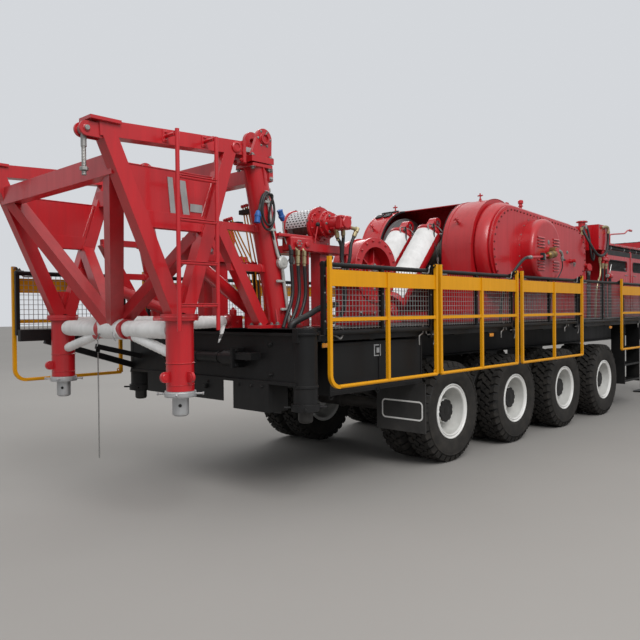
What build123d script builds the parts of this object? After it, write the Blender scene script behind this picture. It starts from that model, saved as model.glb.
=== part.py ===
from build123d import *
import os

# A four-axle trailer that carries the deck machinery of a drilling rig, in millimetres.
# X runs forward, Y to the left and Z up, and the origin is on the ground under the middle.
# The mast is off: its two hinge posts, raising rams and folded base frame are here.

os.makedirs("parts", exist_ok=True)

# Overall, with every station counted forward from the rear axle
tail = 4100
nose = 9700
length = tail + nose
axle_1 = tail - length / 2
axle_pitch = 1440
axle_count = 4
side_names = {-1: "near", 1: "far"}
fit = 0.4
standing = (Align.CENTER, Align.CENTER, Align.MIN)

# Wheels, each a pair of tyres on two rims that share one hub
tyre_radius = 545
tyre_sides = 24
tyre_tread_half = 118
tyre_half = 150
tyre_widest = 505
bead_half = 117
bead_radius = 256
outer_tyre_y = 1120
inner_tyre_y = 775
rim_flange_radius = 298
rim_flange_thick = 14
rim_wall = 12
rim_disc = 16
hub_radius = 135
hub_inner_y = 700
hub_outer_y = 1050
hub_plate_radius = 124
hub_plate = 18
hub_scallops = 10
hub_scallop_radius = 16
spindle_radius = 45
axle_tube_radius = 70

# Springs and their hangers
spring_y = 480
spring_wide = 90
spring_thick = 60
spring_rise = 150
hanger_wide = 150
hanger_thick = 110

# Frame and deck
deck_top = 1500
deck_plate = 8
deck_half = 1300
rail_y = 430
rail_depth = 430
rail_flange = 180
rail_flange_thick = 20
rail_web = 16
side_channel = 110
side_channel_wide = 60
cross_pitch = 720
cross_tall = 120
cross_wide = 70
neck_start = 7250
neck_ramp = 320
neck_rise = 190
neck_bottom = 1290
neck_half = 1100

# Coupling plate and pin under the neck
kingpin_x = 8900
kingpin_radius = 44.5
kingpin_waist = 36.5
kingpin_long = 84
kingpin_head = 24
coupler_long = 1100
coupler_wide = 1000
coupler_plate = 14

# Parking legs
leg_x = 7700
leg_y = 760
leg_box = 150
leg_foot = 320
leg_foot_thick = 25

# Rear cross beam with a jack column at each end
beam_rear = -2400
beam_deep = 250
beam_drop = 30
beam_bottom = 1020
beam_plate = 25
column_y = 1264
column_radius = 105
column_bottom = 870
column_nut_radius = 122
column_nut = 60
column_handle = 60
jack_radius = 80
jack_foot_radius = 62
jack_foot = 710
jack_stroke = 690

# Walkway panels, upright at the deck edge, with their handrails hanging outside
hinge_y = 1345
hinge_z = 1455
panel_height = 580
panel_tube = 22
panel_post = 36
joist_pitch = 850
lug_thick = 12
lug_gap = 6
hinge_pin = 10
swing_y = 1420
swing_rise = 50
rail_long = 1085
rail_post = 32
rail_tube = 17
rail_bay = 850
mid_rail_drop = 515
kick_top = 95
kick_tall = 140
kick_thick = 4
swing_pin = 8
swing_lug = 10
corner_round = 110
# columns: name, side, rear end, front end, first rail post, rounded rear corner
walkways = (
    ("near_1", -1, -2150, -544, -2150, True),
    ("near_2", -1, -496, 1166, -496, False),
    ("near_3", -1, 1264, 3076, 1264, False),
    ("near_4", -1, 3124, 6600, 4580, False),
    ("far_1", 1, -3580, -2410, -3580, True),
    ("far_2", 1, -2140, 1166, -2140, False),
    ("far_3", 1, 1264, 3076, 1264, False),
    ("far_4", 1, 3124, 6600, 4580, False),
)

# Base frame behind the deck: two V trusses, headers and a cross tube
base_y = 950
top_rear = (-3900, 2900)
top_front = (-2820, 2970)
foot_x = -3300
foot_top = 1625
truss_box = 110
tie_joint = 140
header_tall = 150
header_drop = 215
web_top = 2700
web_seam = 2380
web_bottom = 2260
web_plate = 14
gusset_top = 1850
foot_radius = 105
foot_bottom = 1052
collar_radius = 140
collar = 45
cross_tube_z = 1508
cross_tube_radius = 70
brace_radius = 40
brace_z = 1300
strut_radius = 50
strut_z = 1560
strut_end = (-2450, 470)
strut_lug = (120, 120, 110)
stay_radius = 55
stay_top_z = 2040
stay_end = (-2300, 640, 1640)
stay_post = 110
brace_start = 190
node_sleeve_radius = 85
node_sleeve = 210
nut_radius = 118
nut_tall = 45
nut_handle = 60
screw_radius = 62
screw_bottom = 860
screw_stroke = 480
screw_top = 1555
ear_reach = 70
ear_z = 1160
ear_hole = 18
ear_plate = 24

# Mast posts
post_y = 900
post_top = (-2500, 2890)
post_bottom = (-2225, 1500)
post_radius = 100
post_head = 240
post_head_plate = 50
hinge_x = -2460
hinge_top = 3090
hinge_boss = 45
hinge_bore = 30
hinge_cheek = 85
cheek_plate = 30
cheek_gap = 120
tie_box = 90
post_foot = 28

# Mast-raising rams, leaning forward beside the drum
ram_y = 220
ram_foot = (200, 1640)
ram_lean = 42
ram_radius = 165
ram_barrel = 1340
ram_rod_radius = 100
ram_eye = 1530
ram_eye_radius = 75
ram_eye_wide = 110
ram_pin = 35
ram_stroke = 1050
ram_cheek = 30

# Drawworks: drum, guards, main case, chain case and clutch cover
drum_x = 1690
drum_z = 2400
guard_radius = 670
guard_plate = 12
guard_foot = 1620
guard_near = (-880, -460)
guard_far = (550, 880)
roof_rear = 97
roof_front = 20
drum_barrel = 240
drum_rim_radius = 560
drum_rim = 40
drum_shaft = 60
drum_gap = 20
case_front = 4300
case_rear = 2330
case_half = 880
case_top = 2920
case_round = 160
vent_x = 2600
vent_y = -300
vent_radius = 55
vent_top = 3090
riser_x = 4060
riser_y = -1020
riser_radius = 53
riser_top = 2970
riser_hold_z = 2600
# columns: rear, front, near side, far side, bottom, top
control_box = (4300, 4700, -1180, -700, 2560, 2950)
skid_rear = 820
skid_tall = 120
chain_face = 1110
chain_cover = 25
chain_big = 550
chain_small = 415
chain_small_x = 3570
chain_small_z = 2440
clutch_x = 2290
clutch_z = 2400
clutch_radius = 435
clutch_face = 1290
clutch_round = 60
union_radius = 45
union_face = 1420

# Rotary drive housing behind the drum on the near side
rotary_x = -900
rotary_z = 2050
rotary_radius = 320
rotary_inner = 235
rotary_near = 930
rotary_far = 620

# Utility winches on their stands, near and far
winch_x = -1680
winch_z = 2440
winch_inner = 560
winch_outer = 880
winch_disc_radius = 172
winch_disc = 22
winch_guard_radius = 160
winch_guard_plate = 6
winch_drum_radius = 70
winch_shaft = 30
winch_gear_radius = 105
winch_gear_face = 1040
winch_motor_radius = 70
winch_motor_face = 1150
winch_table_top = 2250
winch_table = 70
winch_table_x = (-1980, -1380)
winch_post = 120

# Engine house with its roof, and the engines inside it
house_rear = 4750
house_front = 7150
house_half = 1100
house_wall = 12
house_top = 2600
roof_gap = 70
roof_rise = 110
window_drop = 170
window_tall = 150
engine_rear = 5000
engine_front = 6850
engine_y = 500
engine_wide = 620
engine_top = 2350
engine_base = 1620

# Tool boxes, flaps, lamps, steps
box_rear = -1960
box_front = -580
box_top = 1360
box_bottom = 900
box_outer = 1250
box_inner = 800
box_wall = 5
box_door = 12
box_hanger = 300
flap_x = -660
flap_bottom = 400
flap_thick = 12
flap_inner = 740
flap_outer = 1360
lamp_stations = (-2080, 730, 4410)
lamp_long = 90
lamp_tall = 45
lamp_thick = 25
step_x = (5250, 5950)
step_z = (420, 690, 960)
step_deep = 220
step_plate = 30

# Ladder on the near side of the base frame
ladder_y = 1150
ladder_x = (-3440, -3090)
ladder_top = 2960
ladder_bottom = 1505
ladder_tube = 16
ladder_rungs = (1690, 2000, 2310, 2620)

# Chain that hangs from an arm on the beam
beam_pipe_z = 1230
beam_pipe_radius = 47
beam_pipe_y = (-420, 580)
beam_cone_radius = 70
beam_bracket_y = -575
beam_bracket_z = (1150, 1320)
beam_stub_y = -820
beam_stub_z = (1225, 1285)
# columns: one side's edge, other edge, bottom
hanging_plates = (
    (-320, 930, 830),
    (-930, -470, 775),
)
hanging_plate = 12
hanging_return = 230
arm_end = (-2880, 1110, 1310)
arm_start = (-2370, 1110, 1185)
chain_low = 160
chain_radius = 9

# Tank and mast rest on the neck
tank_x = (7900, 8650)
tank_half = 850
tank_top = 2250
rest_x = 9300
rest_y = 620
rest_top = 2960
rest_box = 140


def x_at(station):
    """The X of a station that is counted forward from the rear axle."""
    return axle_1 + station


def member(start, end, wide, tall, up=(0, 0, 1), mode=Mode.ADD):
    """A box-section member from one point to another, wide across and tall along up."""
    start, end = Vector(*start), Vector(*end)
    run = end - start
    across = run.cross(Vector(*up)).normalized()
    with Locations(Plane(origin=start, x_dir=across, z_dir=run.normalized())):
        Box(wide, tall, run.length, align=standing, mode=mode)


def rod(start, end, radius, mode=Mode.ADD):
    """A round member from one point to another."""
    start, end = Vector(*start), Vector(*end)
    run = end - start
    with Locations(Plane(origin=start, z_dir=run.normalized())):
        Cylinder(radius, run.length, align=standing, mode=mode)


def block(x0, x1, y0, y1, z0, z1, mode=Mode.ADD):
    """A rectangular block between two corners."""
    with Locations(((x0 + x1) / 2, (y0 + y1) / 2, (z0 + z1) / 2)):
        Box(abs(x1 - x0), abs(y1 - y0), abs(z1 - z0), mode=mode)


def save(builder, name):
    """Label one sub-part and write its file."""
    builder.part.label = name
    export_step(builder.part, f"parts/{name}.step")


# Chassis: two deep rails, cross members, side channels, neck and rear beam
rail_top = deck_top - deck_plate
rail_bottom = rail_top - rail_depth
neck_top = rail_top + neck_rise
beam_top = rail_top - beam_drop
beam_x0, beam_x1 = x_at(beam_rear), x_at(beam_rear + beam_deep)
column_x = (beam_x0 + beam_x1) / 2
rail_end = x_at(nose)
ramp_start = x_at(neck_start)
ramp_end = x_at(neck_start + neck_ramp)
far_reach = x_at(walkways[4][2])

with BuildPart() as chassis:
    for side in side_names:
        with BuildSketch(Plane.XZ.offset(-side * rail_y)):
            with BuildLine():
                Polyline(
                    (beam_x1, rail_bottom),
                    (ramp_start, rail_bottom),
                    (ramp_end, neck_bottom),
                    (rail_end, neck_bottom),
                    (rail_end, neck_top),
                    (ramp_end, neck_top),
                    (ramp_start, rail_top),
                    (beam_x1, rail_top),
                    close=True,
                )
            make_face()
        extrude(amount=rail_web / 2, both=True)
        half = rail_flange / 2
        # columns: rear end, front end, underside
        flanges = (
            (beam_x1, ramp_start, rail_top - rail_flange_thick),
            (beam_x1, ramp_start, rail_bottom),
            (ramp_end, rail_end, neck_bottom),
            (ramp_end, rail_end, neck_top - rail_flange_thick),
        )
        for x0, x1, z0 in flanges:
            block(x0, x1, side * rail_y - half, side * rail_y + half, z0, z0 + rail_flange_thick)
        low = rail_flange_thick / 2
        member(
            (ramp_start, side * rail_y, rail_bottom + low),
            (ramp_end, side * rail_y, neck_bottom + low),
            rail_flange,
            rail_flange_thick,
        )
        inner = side * (deck_half - side_channel_wide)
        block(beam_x0, ramp_start, inner, side * deck_half, rail_top - side_channel, rail_top)
        neck_inner = side * (neck_half - side_channel_wide)
        block(ramp_end, rail_end, neck_inner, side * neck_half, neck_top - side_channel, neck_top)
    cross_count = int((ramp_start - beam_x1) // cross_pitch)
    reach = deck_half - side_channel_wide / 2
    for i in range(1, cross_count + 1):
        x = beam_x1 + i * cross_pitch
        block(x, x + cross_wide, -reach, reach, rail_top - cross_tall, rail_top)
    block(ramp_start - cross_wide, ramp_start, -reach, reach, rail_top - cross_tall, rail_top)
    reach = neck_half - side_channel_wide / 2
    for x in (ramp_end, (ramp_end + rail_end - cross_wide) / 2, rail_end - cross_wide):
        block(x, x + cross_wide, -reach, reach, neck_top - cross_tall, neck_top)
    block(beam_x0 + beam_plate, beam_x1, -column_y, column_y, beam_bottom, beam_top)
    for z0 in (beam_bottom, beam_top - beam_plate):
        block(beam_x0, beam_x1 + beam_plate, -column_y, column_y, z0, z0 + beam_plate)
    for side in side_names:
        column = (column_x, side * column_y)
        rod((*column, column_bottom), (*column, rail_top), column_radius)
        nut_top = column_bottom
        nut_low = nut_top - column_nut
        rod((column_x, side * column_y, nut_low), (column_x, side * column_y, nut_top), column_nut_radius)
        for turn in range(4):
            angle = 45 + 90 * turn
            tip = Vector(column_nut_radius + column_handle, 0, 0).rotate(Axis.Z, angle)
            middle = Vector(column_x, side * column_y, nut_low + column_nut / 2)
            rod(tuple(middle), tuple(middle + tip), 9)
    for side in side_names:
        bore_top = rail_top - beam_plate
        rod(
            (column_x, side * column_y, column_bottom - column_nut),
            (column_x, side * column_y, bore_top),
            jack_radius + fit,
            mode=Mode.SUBTRACT,
        )
    # the far side channel runs on behind the beam and carries the rear platform
    inner = deck_half - side_channel_wide
    block(far_reach, beam_x0, inner, deck_half, rail_top - side_channel, rail_top)
    brace_top = (far_reach + 250, inner + 30, rail_top - side_channel)
    member(brace_top, (column_x - 90, inner + 30, beam_bottom + 60), 50, 60)
    # the arm that carries the hanging chain
    member((x_at(arm_start[0]), *arm_start[1:]), (x_at(arm_end[0]), *arm_end[1:]), 40, 50)
    arm_x, arm_y, arm_z = x_at(arm_end[0]), arm_end[1], arm_end[2]
    block(arm_x, arm_x + 40, arm_y - 8, arm_y + 8, arm_z - 60, arm_z)
    # pipe and bracket behind the rear beam, and the plates that hang under it
    pipe_x = beam_x0 + beam_plate - beam_pipe_radius + 2
    pipe_y0, pipe_y1 = beam_pipe_y
    rod((pipe_x, pipe_y0, beam_pipe_z), (pipe_x, pipe_y1, beam_pipe_z), beam_pipe_radius)
    cone_x = beam_x0 + beam_plate - beam_cone_radius + 2
    rod((cone_x, beam_bracket_y, beam_pipe_z), (cone_x, pipe_y0, beam_pipe_z), beam_cone_radius)
    web_x = beam_x0 + beam_plate + 1
    block(cone_x - beam_cone_radius, web_x, beam_bracket_y - beam_plate, beam_bracket_y, *beam_bracket_z)
    block(cone_x - beam_pipe_radius, web_x, beam_stub_y, beam_bracket_y, *beam_stub_z)
    for y0, y1, z0 in hanging_plates:
        block(beam_x0, beam_x0 + hanging_plate, y0, y1, z0, beam_bottom + 5)
    edge_y, edge_z = hanging_plates[1][0], hanging_plates[1][2]
    block(beam_x0, beam_x0 + hanging_return, edge_y - hanging_plate, edge_y, edge_z, beam_bottom + 5)
    # walkway lugs along the deck edge
    for name, side, start, end, first_post, rounded in walkways:
        for x in (x_at(start) + panel_post + lug_gap, x_at(end) - panel_post - lug_gap - lug_thick):
            y0, y1 = side * (deck_half - 10), side * (hinge_y + panel_tube)
            block(x, x + lug_thick, y0, y1, hinge_z - panel_tube, hinge_z + panel_tube)
            pin_from = (x - 1, side * hinge_y, hinge_z)
            rod(pin_from, (x + lug_thick + 1, side * hinge_y, hinge_z), hinge_pin + fit, mode=Mode.SUBTRACT)
    # deck plates on the frame and on the neck
    block(beam_x0, ramp_start, -deck_half, deck_half, rail_top, deck_top)
    block(ramp_end, rail_end, -neck_half, neck_half, neck_top, neck_top + deck_plate)
    # coupling plate and kingpin under the neck
    pin_x = x_at(kingpin_x)
    long_half, wide_half = coupler_long / 2, coupler_wide / 2
    plate_low = neck_bottom - coupler_plate
    block(pin_x - long_half, pin_x + long_half, -wide_half, wide_half, plate_low, neck_bottom)
    pin_low = plate_low - kingpin_long
    rod((pin_x, 0, pin_low), (pin_x, 0, pin_low + kingpin_head), kingpin_radius)
    rod((pin_x, 0, pin_low + kingpin_head - 1), (pin_x, 0, plate_low - kingpin_head), kingpin_waist)
    rod((pin_x, 0, plate_low - kingpin_head - 1), (pin_x, 0, neck_bottom), kingpin_radius)
    # brackets for the marker lamps
    for side in side_names:
        for station in lamp_stations:
            x = x_at(station)
            z1 = rail_top - side_channel + 5
            y1 = side * deck_half
            block(x - 20, x + 20, y1 - side * 8, y1, z1 - lamp_tall - 15, z1)
save(chassis, "chassis")

# Parking legs under the front of the frame, with braces and foot plates
with BuildPart() as parking_legs:
    for side in side_names:
        x, y = x_at(leg_x), side * leg_y
        half = leg_box / 2
        block(x - half, x + half, y - half, y + half, neck_bottom - 260, neck_top - cross_tall)
        block(x - half + 15, x + half - 15, y - half + 15, y + half - 15, leg_foot_thick, neck_bottom)
        foot = leg_foot / 2
        block(x - foot, x + foot, y - foot, y + foot, 0, leg_foot_thick)
        y0, y1 = side * rail_y, side * (leg_y - half + 5)
        block(x - half, x + half, y0 + side * rail_web / 2, y1, neck_bottom + 40, neck_bottom + 190)
    rod((x_at(leg_x), -leg_y, neck_bottom - 160), (x_at(leg_x), leg_y, neck_bottom - 160), 30)
save(parking_legs, "parking_legs")

# Axle beams with their spindles, leaf springs and hangers
with BuildPart() as running_gear:
    for i in range(axle_count):
        x = axle_1 + i * axle_pitch
        rod((x, -hub_inner_y + 10, tyre_radius), (x, hub_inner_y - 10, tyre_radius), axle_tube_radius)
        spindle_end = (inner_tyre_y + outer_tyre_y) / 2 - rim_disc / 2 - 8
        rod((x, -spindle_end, tyre_radius), (x, spindle_end, tyre_radius), spindle_radius)
        for side in side_names:
            y = side * spring_y
            low = tyre_radius + axle_tube_radius - 15
            eye = axle_pitch / 2 - hanger_thick / 2 - 10
            with BuildSketch(Plane.XZ.offset(-y)):
                with BuildLine():
                    base = low + 30
                    ThreePointArc((x - eye, base + spring_rise), (x, base), (x + eye, base + spring_rise))
                    Line((x + eye, base + spring_rise), (x + eye, base + spring_rise + spring_thick / 2))
                    ThreePointArc(
                        (x + eye, base + spring_rise + spring_thick / 2),
                        (x, base + spring_thick),
                        (x - eye, base + spring_rise + spring_thick / 2),
                    )
                    Line((x - eye, base + spring_rise + spring_thick / 2), (x - eye, base + spring_rise))
                make_face()
            extrude(amount=spring_wide / 2, both=True)
            block(x - 70, x + 70, y - 60, y + 60, low, base + spring_thick + 15)
    for i in range(axle_count + 1):
        x = axle_1 + (i - 0.5) * axle_pitch
        for side in side_names:
            y = side * spring_y
            z1 = rail_bottom
            eye_z = tyre_radius + axle_tube_radius + 15 + spring_rise
            with BuildSketch(Plane.XZ.offset(-y)):
                with BuildLine():
                    Polyline(
                        (x - hanger_wide, z1),
                        (x + hanger_wide, z1),
                        (x + hanger_thick / 2 + 15, eye_z - 30),
                        (x - hanger_thick / 2 - 15, eye_z - 30),
                        close=True,
                    )
                make_face()
            extrude(amount=spring_wide / 2 - 5, both=True)
save(running_gear, "running_gear")

# Wheels: both tyres of a pair, and the rims with their hub. One is drawn, the rest are copies
dual_y = (inner_tyre_y + outer_tyre_y) / 2
centre = Plane(origin=(axle_1, 0, tyre_radius), x_dir=(0, 1, 0), z_dir=(1, 0, 0))
spin = Axis((axle_1, 0, tyre_radius), (0, 1, 0))
with BuildPart() as wheel:
    for middle in (inner_tyre_y, outer_tyre_y):
        # columns: distance from the tyre's middle, radius
        tyre_rings = (
            (-bead_half, rim_flange_radius + 4),
            (-tyre_half, tyre_widest),
            (-tyre_tread_half, tyre_radius),
            (tyre_tread_half, tyre_radius),
            (tyre_half, tyre_widest),
            (bead_half, rim_flange_radius + 4),
        )
        for (y0, ring_0), (y1, ring_1) in zip(tyre_rings, tyre_rings[1:]):
            for y, ring in ((middle + y0, ring_0), (middle + y1, ring_1)):
                with BuildSketch(Plane(origin=(axle_1, y, tyre_radius), x_dir=(1, 0, 0), z_dir=(0, 1, 0))):
                    RegularPolygon(ring, tyre_sides)
            loft(ruled=True)
    with BuildSketch(Plane(origin=(axle_1, inner_tyre_y - tyre_half - 1, tyre_radius), z_dir=(0, 1, 0))):
        RegularPolygon(bead_radius + fit, tyre_sides, major_radius=False)
    extrude(amount=outer_tyre_y - inner_tyre_y + 2 * tyre_half + 2, mode=Mode.SUBTRACT)
    with BuildSketch(centre) as rim_section:
        for middle in (inner_tyre_y, outer_tyre_y):
            half = bead_half + rim_flange_thick
            low = bead_radius - rim_wall
            with Locations((middle, bead_radius - rim_wall / 2)):
                Rectangle(2 * half, rim_wall)
            tall = rim_flange_radius - low
            for way in (-1, 1):
                with Locations((middle + way * (half - rim_flange_thick / 2), low + tall / 2)):
                    Rectangle(rim_flange_thick - 2 * fit, tall)
        disc_low = hub_plate_radius - 10
        with Locations((dual_y, (disc_low + bead_radius) / 2)):
            Rectangle(rim_disc, bead_radius - disc_low)
        bridge = outer_tyre_y - inner_tyre_y - 2 * bead_half
        with Locations((dual_y, bead_radius - rim_wall / 2)):
            Rectangle(bridge, rim_wall)
        bore = spindle_radius + fit
        with BuildLine():
            Polyline(
                (hub_inner_y, bore),
                (hub_inner_y, hub_radius),
                (hub_outer_y, hub_radius - 12),
                (hub_outer_y, hub_plate_radius),
                (hub_outer_y + hub_plate, hub_plate_radius),
                (hub_outer_y + hub_plate, 0),
                (dual_y - rim_disc / 2, 0),
                (dual_y - rim_disc / 2, bore),
                close=True,
            )
        make_face()
    revolve(axis=spin)
    with BuildSketch(Plane(origin=(axle_1, hub_outer_y + 1, tyre_radius), z_dir=(0, 1, 0))):
        with PolarLocations(hub_plate_radius, hub_scallops):
            Circle(hub_scallop_radius)
    extrude(amount=hub_plate, mode=Mode.SUBTRACT)

wheel_shapes = {1: wheel.part, -1: mirror(wheel.part, about=Plane.XZ, mode=Mode.PRIVATE)}
for i in range(axle_count):
    for side, side_name in side_names.items():
        with BuildPart() as wheel_pair:
            add(wheel_shapes[side].moved(Location((i * axle_pitch, 0, 0))))
        save(wheel_pair, f"wheel_{i + 1}_{side_name}")

# Jack legs in the rear columns, and the screws in the base feet
for side, side_name in side_names.items():
    with BuildPart() as jack_leg:
        y = side * column_y
        foot_top_z = column_bottom - column_nut - 10
        rod((column_x, y, foot_top_z), (column_x, y, rail_top - 2 * beam_plate), jack_radius)
        rod((column_x, y, jack_foot), (column_x, y, foot_top_z), jack_foot_radius)
        fillet(jack_leg.faces().sort_by(Axis.Z)[0].edges(), 25)
    save(jack_leg, f"jack_leg_{side_name}")

    with BuildPart() as base_screw:
        x, y = x_at(foot_x), side * base_y
        rod((x, y, screw_bottom), (x, y, screw_top), screw_radius)
        fillet(base_screw.faces().sort_by(Axis.Z)[0].edges(), 25)
    save(base_screw, f"base_screw_{side_name}")

# Base frame: V trusses, headers, diagonals, foot tubes with ears and collars
rear_x, rear_z = x_at(top_rear[0]), top_rear[1]
front_x, front_z = x_at(top_front[0]), top_front[1]
foot_at = x_at(foot_x)


def on_leg(top_x, top_z, height):
    """The X of a truss leg at a height, between its top corner and the foot."""
    share = (height - foot_top) / (top_z - foot_top)
    return foot_at + (top_x - foot_at) * share


with BuildPart() as base_frame:
    for side in side_names:
        y = side * base_y
        member((rear_x - 60, y, rear_z), (front_x + 130, y, front_z), truss_box, truss_box)
        member((rear_x, y, rear_z), (foot_at - 40, y, foot_top), truss_box, truss_box, up=(0, 1, 0))
        member((front_x, y, front_z), (foot_at + 40, y, foot_top), truss_box, truss_box, up=(0, 1, 0))
        with BuildSketch(Plane.XZ.offset(-y)):
            with BuildLine():
                Polyline(
                    (on_leg(rear_x, rear_z, web_bottom), web_bottom),
                    (on_leg(front_x, front_z, web_bottom), web_bottom),
                    (on_leg(front_x, front_z, web_top), web_top),
                    (on_leg(rear_x, rear_z, web_top), web_top),
                    close=True,
                )
            make_face()
            with BuildLine():
                Polyline(
                    (on_leg(rear_x, rear_z, gusset_top), gusset_top),
                    (on_leg(front_x, front_z, gusset_top), gusset_top),
                    (foot_at + 45, foot_top),
                    (foot_at - 45, foot_top),
                    close=True,
                )
            make_face()
        extrude(amount=web_plate / 2, both=True)
        rib_x0, rib_x1 = on_leg(rear_x, rear_z, web_seam), on_leg(front_x, front_z, web_seam)
        block(rib_x0 + 30, rib_x1 - 30, y - 30, y + 30, web_bottom, web_seam)
        rod((foot_at, y, foot_bottom), (foot_at, y, foot_top - 10), foot_radius)
        rod((foot_at, y, foot_top - collar), (foot_at, y, foot_top + 5), collar_radius)
        # flange at the front end, where the tie from the post is bolted on
        low_z, high_z = front_z - truss_box / 2 - 60, front_z + truss_box / 2 + 5
        block(front_x + 110, front_x + tie_joint, y - 65, y + 65, low_z, high_z)
        # swing bolt lug and cap plate on the rear corner
        cap_z = rear_z + truss_box / 2
        block(rear_x - 140, rear_x + 90, y - 80, y + 80, cap_z - 12, cap_z + 12)
        for cheek in (-35, 35):
            rod((rear_x - 150, y + cheek - 9, rear_z - 20), (rear_x - 150, y + cheek + 9, rear_z - 20), 50)
            block(rear_x - 150, rear_x - 30, y + cheek - 9, y + cheek + 9, rear_z - 70, rear_z + 30)
        # ears behind and outside the foot
        for reach in ((-1, 0), (0, side)):
            tip = Vector(*reach) * (foot_radius + ear_reach - 40)
            out = Vector(*reach)
            across = Vector(-out.Y, out.X)
            centre = Vector(foot_at, y, ear_z) + tip
            rod(tuple(centre - across * ear_plate / 2), tuple(centre + across * ear_plate / 2), 40)
            near_tube = Vector(foot_at, y, ear_z) + out * (foot_radius - 10)
            member(tuple(near_tube), tuple(centre), ear_plate, 80)
    for side in side_names:
        y = side * base_y
        bore_top = foot_top - collar - 10
        rod((foot_at, y, foot_bottom), (foot_at, y, bore_top), screw_radius + fit, mode=Mode.SUBTRACT)
        for reach in ((-1, 0), (0, side)):
            out = Vector(*reach)
            across = Vector(-out.Y, out.X)
            centre = Vector(foot_at, y, ear_z) + out * (foot_radius + ear_reach - 40)
            rod(tuple(centre - across * 20), tuple(centre + across * 20), ear_hole, mode=Mode.SUBTRACT)
    # headers across, below the top chords
    for top_x, top_z in ((rear_x, rear_z), (front_x, front_z)):
        z = top_z - header_drop
        x = on_leg(top_x, top_z, z)
        block(x - 50, x + 50, -base_y, base_y, z - header_tall / 2, z + header_tall / 2)
    # diagonals from the upper corners to the sleeve in the middle
    hub = (foot_at, 0, cross_tube_z)
    for side in side_names:
        y = side * (base_y - 60)
        z = rear_z - header_drop
        member((on_leg(rear_x, rear_z, z), y, z), hub, truss_box, truss_box, up=(1, 0, 0))
        z = web_bottom - 20
        member((on_leg(front_x, front_z, z), y, z), hub, truss_box - 10, truss_box - 10, up=(1, 0, 0))
    rod((foot_at, -node_sleeve, cross_tube_z), (foot_at, node_sleeve, cross_tube_z), node_sleeve_radius)
    # round stays from the front legs to stub posts on the deck, and the lugs of the wrapped struts
    for side in side_names:
        stay_x, stay_y, stay_z = x_at(stay_end[0]), side * stay_end[1], stay_end[2]
        top = (on_leg(front_x, front_z, stay_top_z), side * (base_y - 30), stay_top_z)
        rod(top, (stay_x, stay_y, stay_z), stay_radius)
        half = stay_post / 2
        block(stay_x - half, stay_x + half, stay_y - half, stay_y + half, deck_top, stay_z + 20)
        lug_x, lug_y = x_at(strut_end[0]), side * strut_end[1]
        lug_long, lug_wide, lug_tall = strut_lug
        half = lug_wide / 2
        block(lug_x, lug_x + lug_long, lug_y - half, lug_y + half, deck_top, deck_top + lug_tall)
    # ladder on the near side, held at the top chord and by the strut lug
    for station in ladder_x:
        x = x_at(station)
        rod((x, -ladder_y, ladder_bottom), (x, -ladder_y, ladder_top), ladder_tube)
        chord_z = rear_z + (front_z - rear_z) * (x - rear_x) / (front_x - rear_x)
        rod((x, -ladder_y, chord_z), (x, -base_y, chord_z), 14)
    for z in ladder_rungs:
        rod((x_at(ladder_x[0]), -ladder_y, z), (x_at(ladder_x[1]), -ladder_y, z), ladder_tube - 3)
save(base_frame, "base_frame")

# Round tubes of the base frame that are still in their white wrapping
with BuildPart() as wrapped_tubes:
    strut_x = x_at(strut_end[0]) - fit
    for side in side_names:
        foot_y = side * base_y
        rod((foot_at, side * node_sleeve, cross_tube_z), (foot_at, foot_y, cross_tube_z), cross_tube_radius)
        rod((foot_at, side * brace_start, cross_tube_z - 30), (foot_at, foot_y, brace_z), brace_radius)
        rod((foot_at, foot_y, strut_z), (strut_x, side * strut_end[1], strut_z), strut_radius)
    sleeve = node_sleeve + fit
    sleeve_from = (foot_at, -sleeve, cross_tube_z)
    rod(sleeve_from, (foot_at, sleeve, cross_tube_z), node_sleeve_radius + fit, mode=Mode.SUBTRACT)
    for side in side_names:
        y = side * base_y
        rod((foot_at, y, foot_bottom), (foot_at, y, foot_top), foot_radius + fit, mode=Mode.SUBTRACT)
        collar_low = foot_top - collar - fit
        rod((foot_at, y, collar_low), (foot_at, y, foot_top + 6), collar_radius + fit, mode=Mode.SUBTRACT)
        # the strut's wrapping stops short of its lug
        y0, y1 = side * 200, side * base_y
        block(strut_x, strut_x + 200, y0, y1, deck_top, deck_top + 150, mode=Mode.SUBTRACT)
save(wrapped_tubes, "wrapped_tubes")

# Ring nuts with their four handles, under the foot tubes
with BuildPart() as ring_nuts:
    for side in side_names:
        y = side * base_y
        z1 = foot_bottom - fit
        rod((foot_at, y, z1 - nut_tall), (foot_at, y, z1), nut_radius)
        for turn in range(4):
            tip = Vector(nut_radius + nut_handle, 0, 0).rotate(Axis.Z, 45 + 90 * turn)
            middle = Vector(foot_at, y, z1 - nut_tall / 2)
            rod(tuple(middle), tuple(middle + tip), 8)
    for side in side_names:
        y = side * base_y
        rod((foot_at, y, z1 - nut_tall - 1), (foot_at, y, z1 + 1), screw_radius + fit, mode=Mode.SUBTRACT)
save(ring_nuts, "ring_nuts")

# Mast posts: leaning tubes with square heads and hinge cheeks, ties and struts
post_x0, post_z0 = x_at(post_bottom[0]), post_bottom[1]
post_x1, post_z1 = x_at(post_top[0]), post_top[1]


def on_post(height):
    """The X of a post's centre line at a height."""
    return post_x0 + (post_x1 - post_x0) * (height - post_z0) / (post_z1 - post_z0)


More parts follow.
